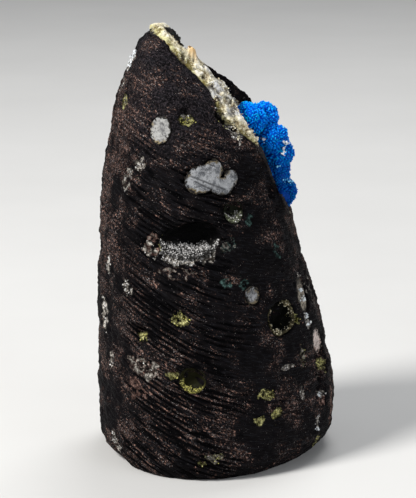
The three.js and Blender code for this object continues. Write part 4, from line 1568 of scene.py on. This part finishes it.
# dark and light blots, and the stain at the rim
FILLINGS = {
    "sawn_zeolite": ((0.15, 0.15, 0.155), (0.38, 0.38, 0.37), (0.22, 0.17, 0.09)),
    "grey_zeolite": ((0.085, 0.09, 0.10), (0.32, 0.33, 0.345), (0.14, 0.11, 0.06)),
    "stained_zeolite": ((0.025, 0.02, 0.015), (0.34, 0.30, 0.24), (0.06, 0.045, 0.03)),
    "rosy_zeolite": ((0.16, 0.11, 0.095), (0.62, 0.53, 0.49), (0.16, 0.08, 0.05)),
}
# bare rock, dark as painted shade in the hollow, and bright grains
SHELLS = {
    "druse_lining": ((0.001, 0.001, 0.0012), (0.13, 0.125, 0.12)),
    "yellow_lining": ((0.012, 0.012, 0.004), (0.46, 0.43, 0.12)),
    "ring_lining": ((0.003, 0.003, 0.002), (0.46, 0.40, 0.22)),
    "pale_lining": ((0.012, 0.014, 0.009), (0.42, 0.46, 0.30)),
}
looks = {"cream_crust": crust_finish(), "cavansite_blue": cavansite_finish()}
looks.update({name: crystal_finish(name, *values) for name, values in CRYSTALS.items()})
looks.update({name: filling_finish(name, *values) for name, values in FILLINGS.items()})
looks.update({name: lining_finish(name, *values) for name, values in SHELLS.items()})
print("finishes:", ", ".join(looks))

# %% [markdown]
# ## Putting the pieces in place
# Every shape is there by now, so each of them gets its name and its finish. A piece that stands for a
# solid hides that solid, and the small crystals belong to the same body without standing for a solid.

# %% Crust, crystals and cavansite
as_piece(crust, "pocket_crust", looks["cream_crust"], ["zeolite_crust"], crust_masks)
for name, slot, look, crystals, solids in (
    ("pocket_blades", "cream_zeolite", "cream_crystals", blades, ()),
    ("band_crystals", "cream_zeolite", "cream_crystals", stubs, ()),
    ("cavansite_rosettes", "cavansite", "cavansite_blue", (blue, blue_masks), ["cavansite_cluster"]),
    ("grains_on_blue", "white_zeolite", "bright_crystals", grains_on_blue, ()),
    ("grains_on_side", "white_zeolite", "bright_crystals", grains_on_side, ()),
    ("grains_by_band", "cream_zeolite", "cream_crystals", grains_by_band, ()),
    ("lit_blades", "cavansite", "lit_blue", lit_blades, ()),
):
    crystal_piece(name, looks[look], crystals, solids)

# %% Fillings
FILLING_LOOKS = {
    "filling_lobed": "grey_zeolite", "filling_round": "grey_zeolite", "filling_back_high": "grey_zeolite",
    "filling_right_high": "stained_zeolite", "filling_right_low": "rosy_zeolite",
}
for name in sorted(frame["nodes"]):
    if name.startswith("filling_"):
        filling, rim = sawn_filling(name)
        look = looks[FILLING_LOOKS.get(name, "sawn_zeolite")]
        as_piece(filling, name + "_sawn", look, [name], rim)

# %% Linings and patches
# slot, finish of the shell and finish of its crystals
LINING_LOOKS = {
    "lining_back_vug": ("druse", "druse_lining", "white_crystals"),
    "lining_green_vug": ("yellow_lining", "yellow_lining", "yellow_crystals"),
    "lining_large_vug": ("druse", "druse_lining", "white_crystals"),
    "lining_pale_vug": ("yellow_lining", "pale_lining", "white_crystals"),
    "lining_square_vug": ("yellow_lining", "ring_lining", "cream_crystals"),
}
rng = np.random.default_rng(17)
for name, (slot, look, crystal_look) in LINING_LOOKS.items():
    shell, bright, crystals = lining(name, rng)
    as_piece(shell, name + "_shell", looks[look], [name], bright)
    crystal_piece(name + "_crystals", looks[crystal_look], crystals)
crystal_piece("white_patch_crystals", looks["white_crystals"], patch_crystals["white"])
crystal_piece("yellow_patch_crystals", looks["yellow_crystals"], patch_crystals["yellow"])
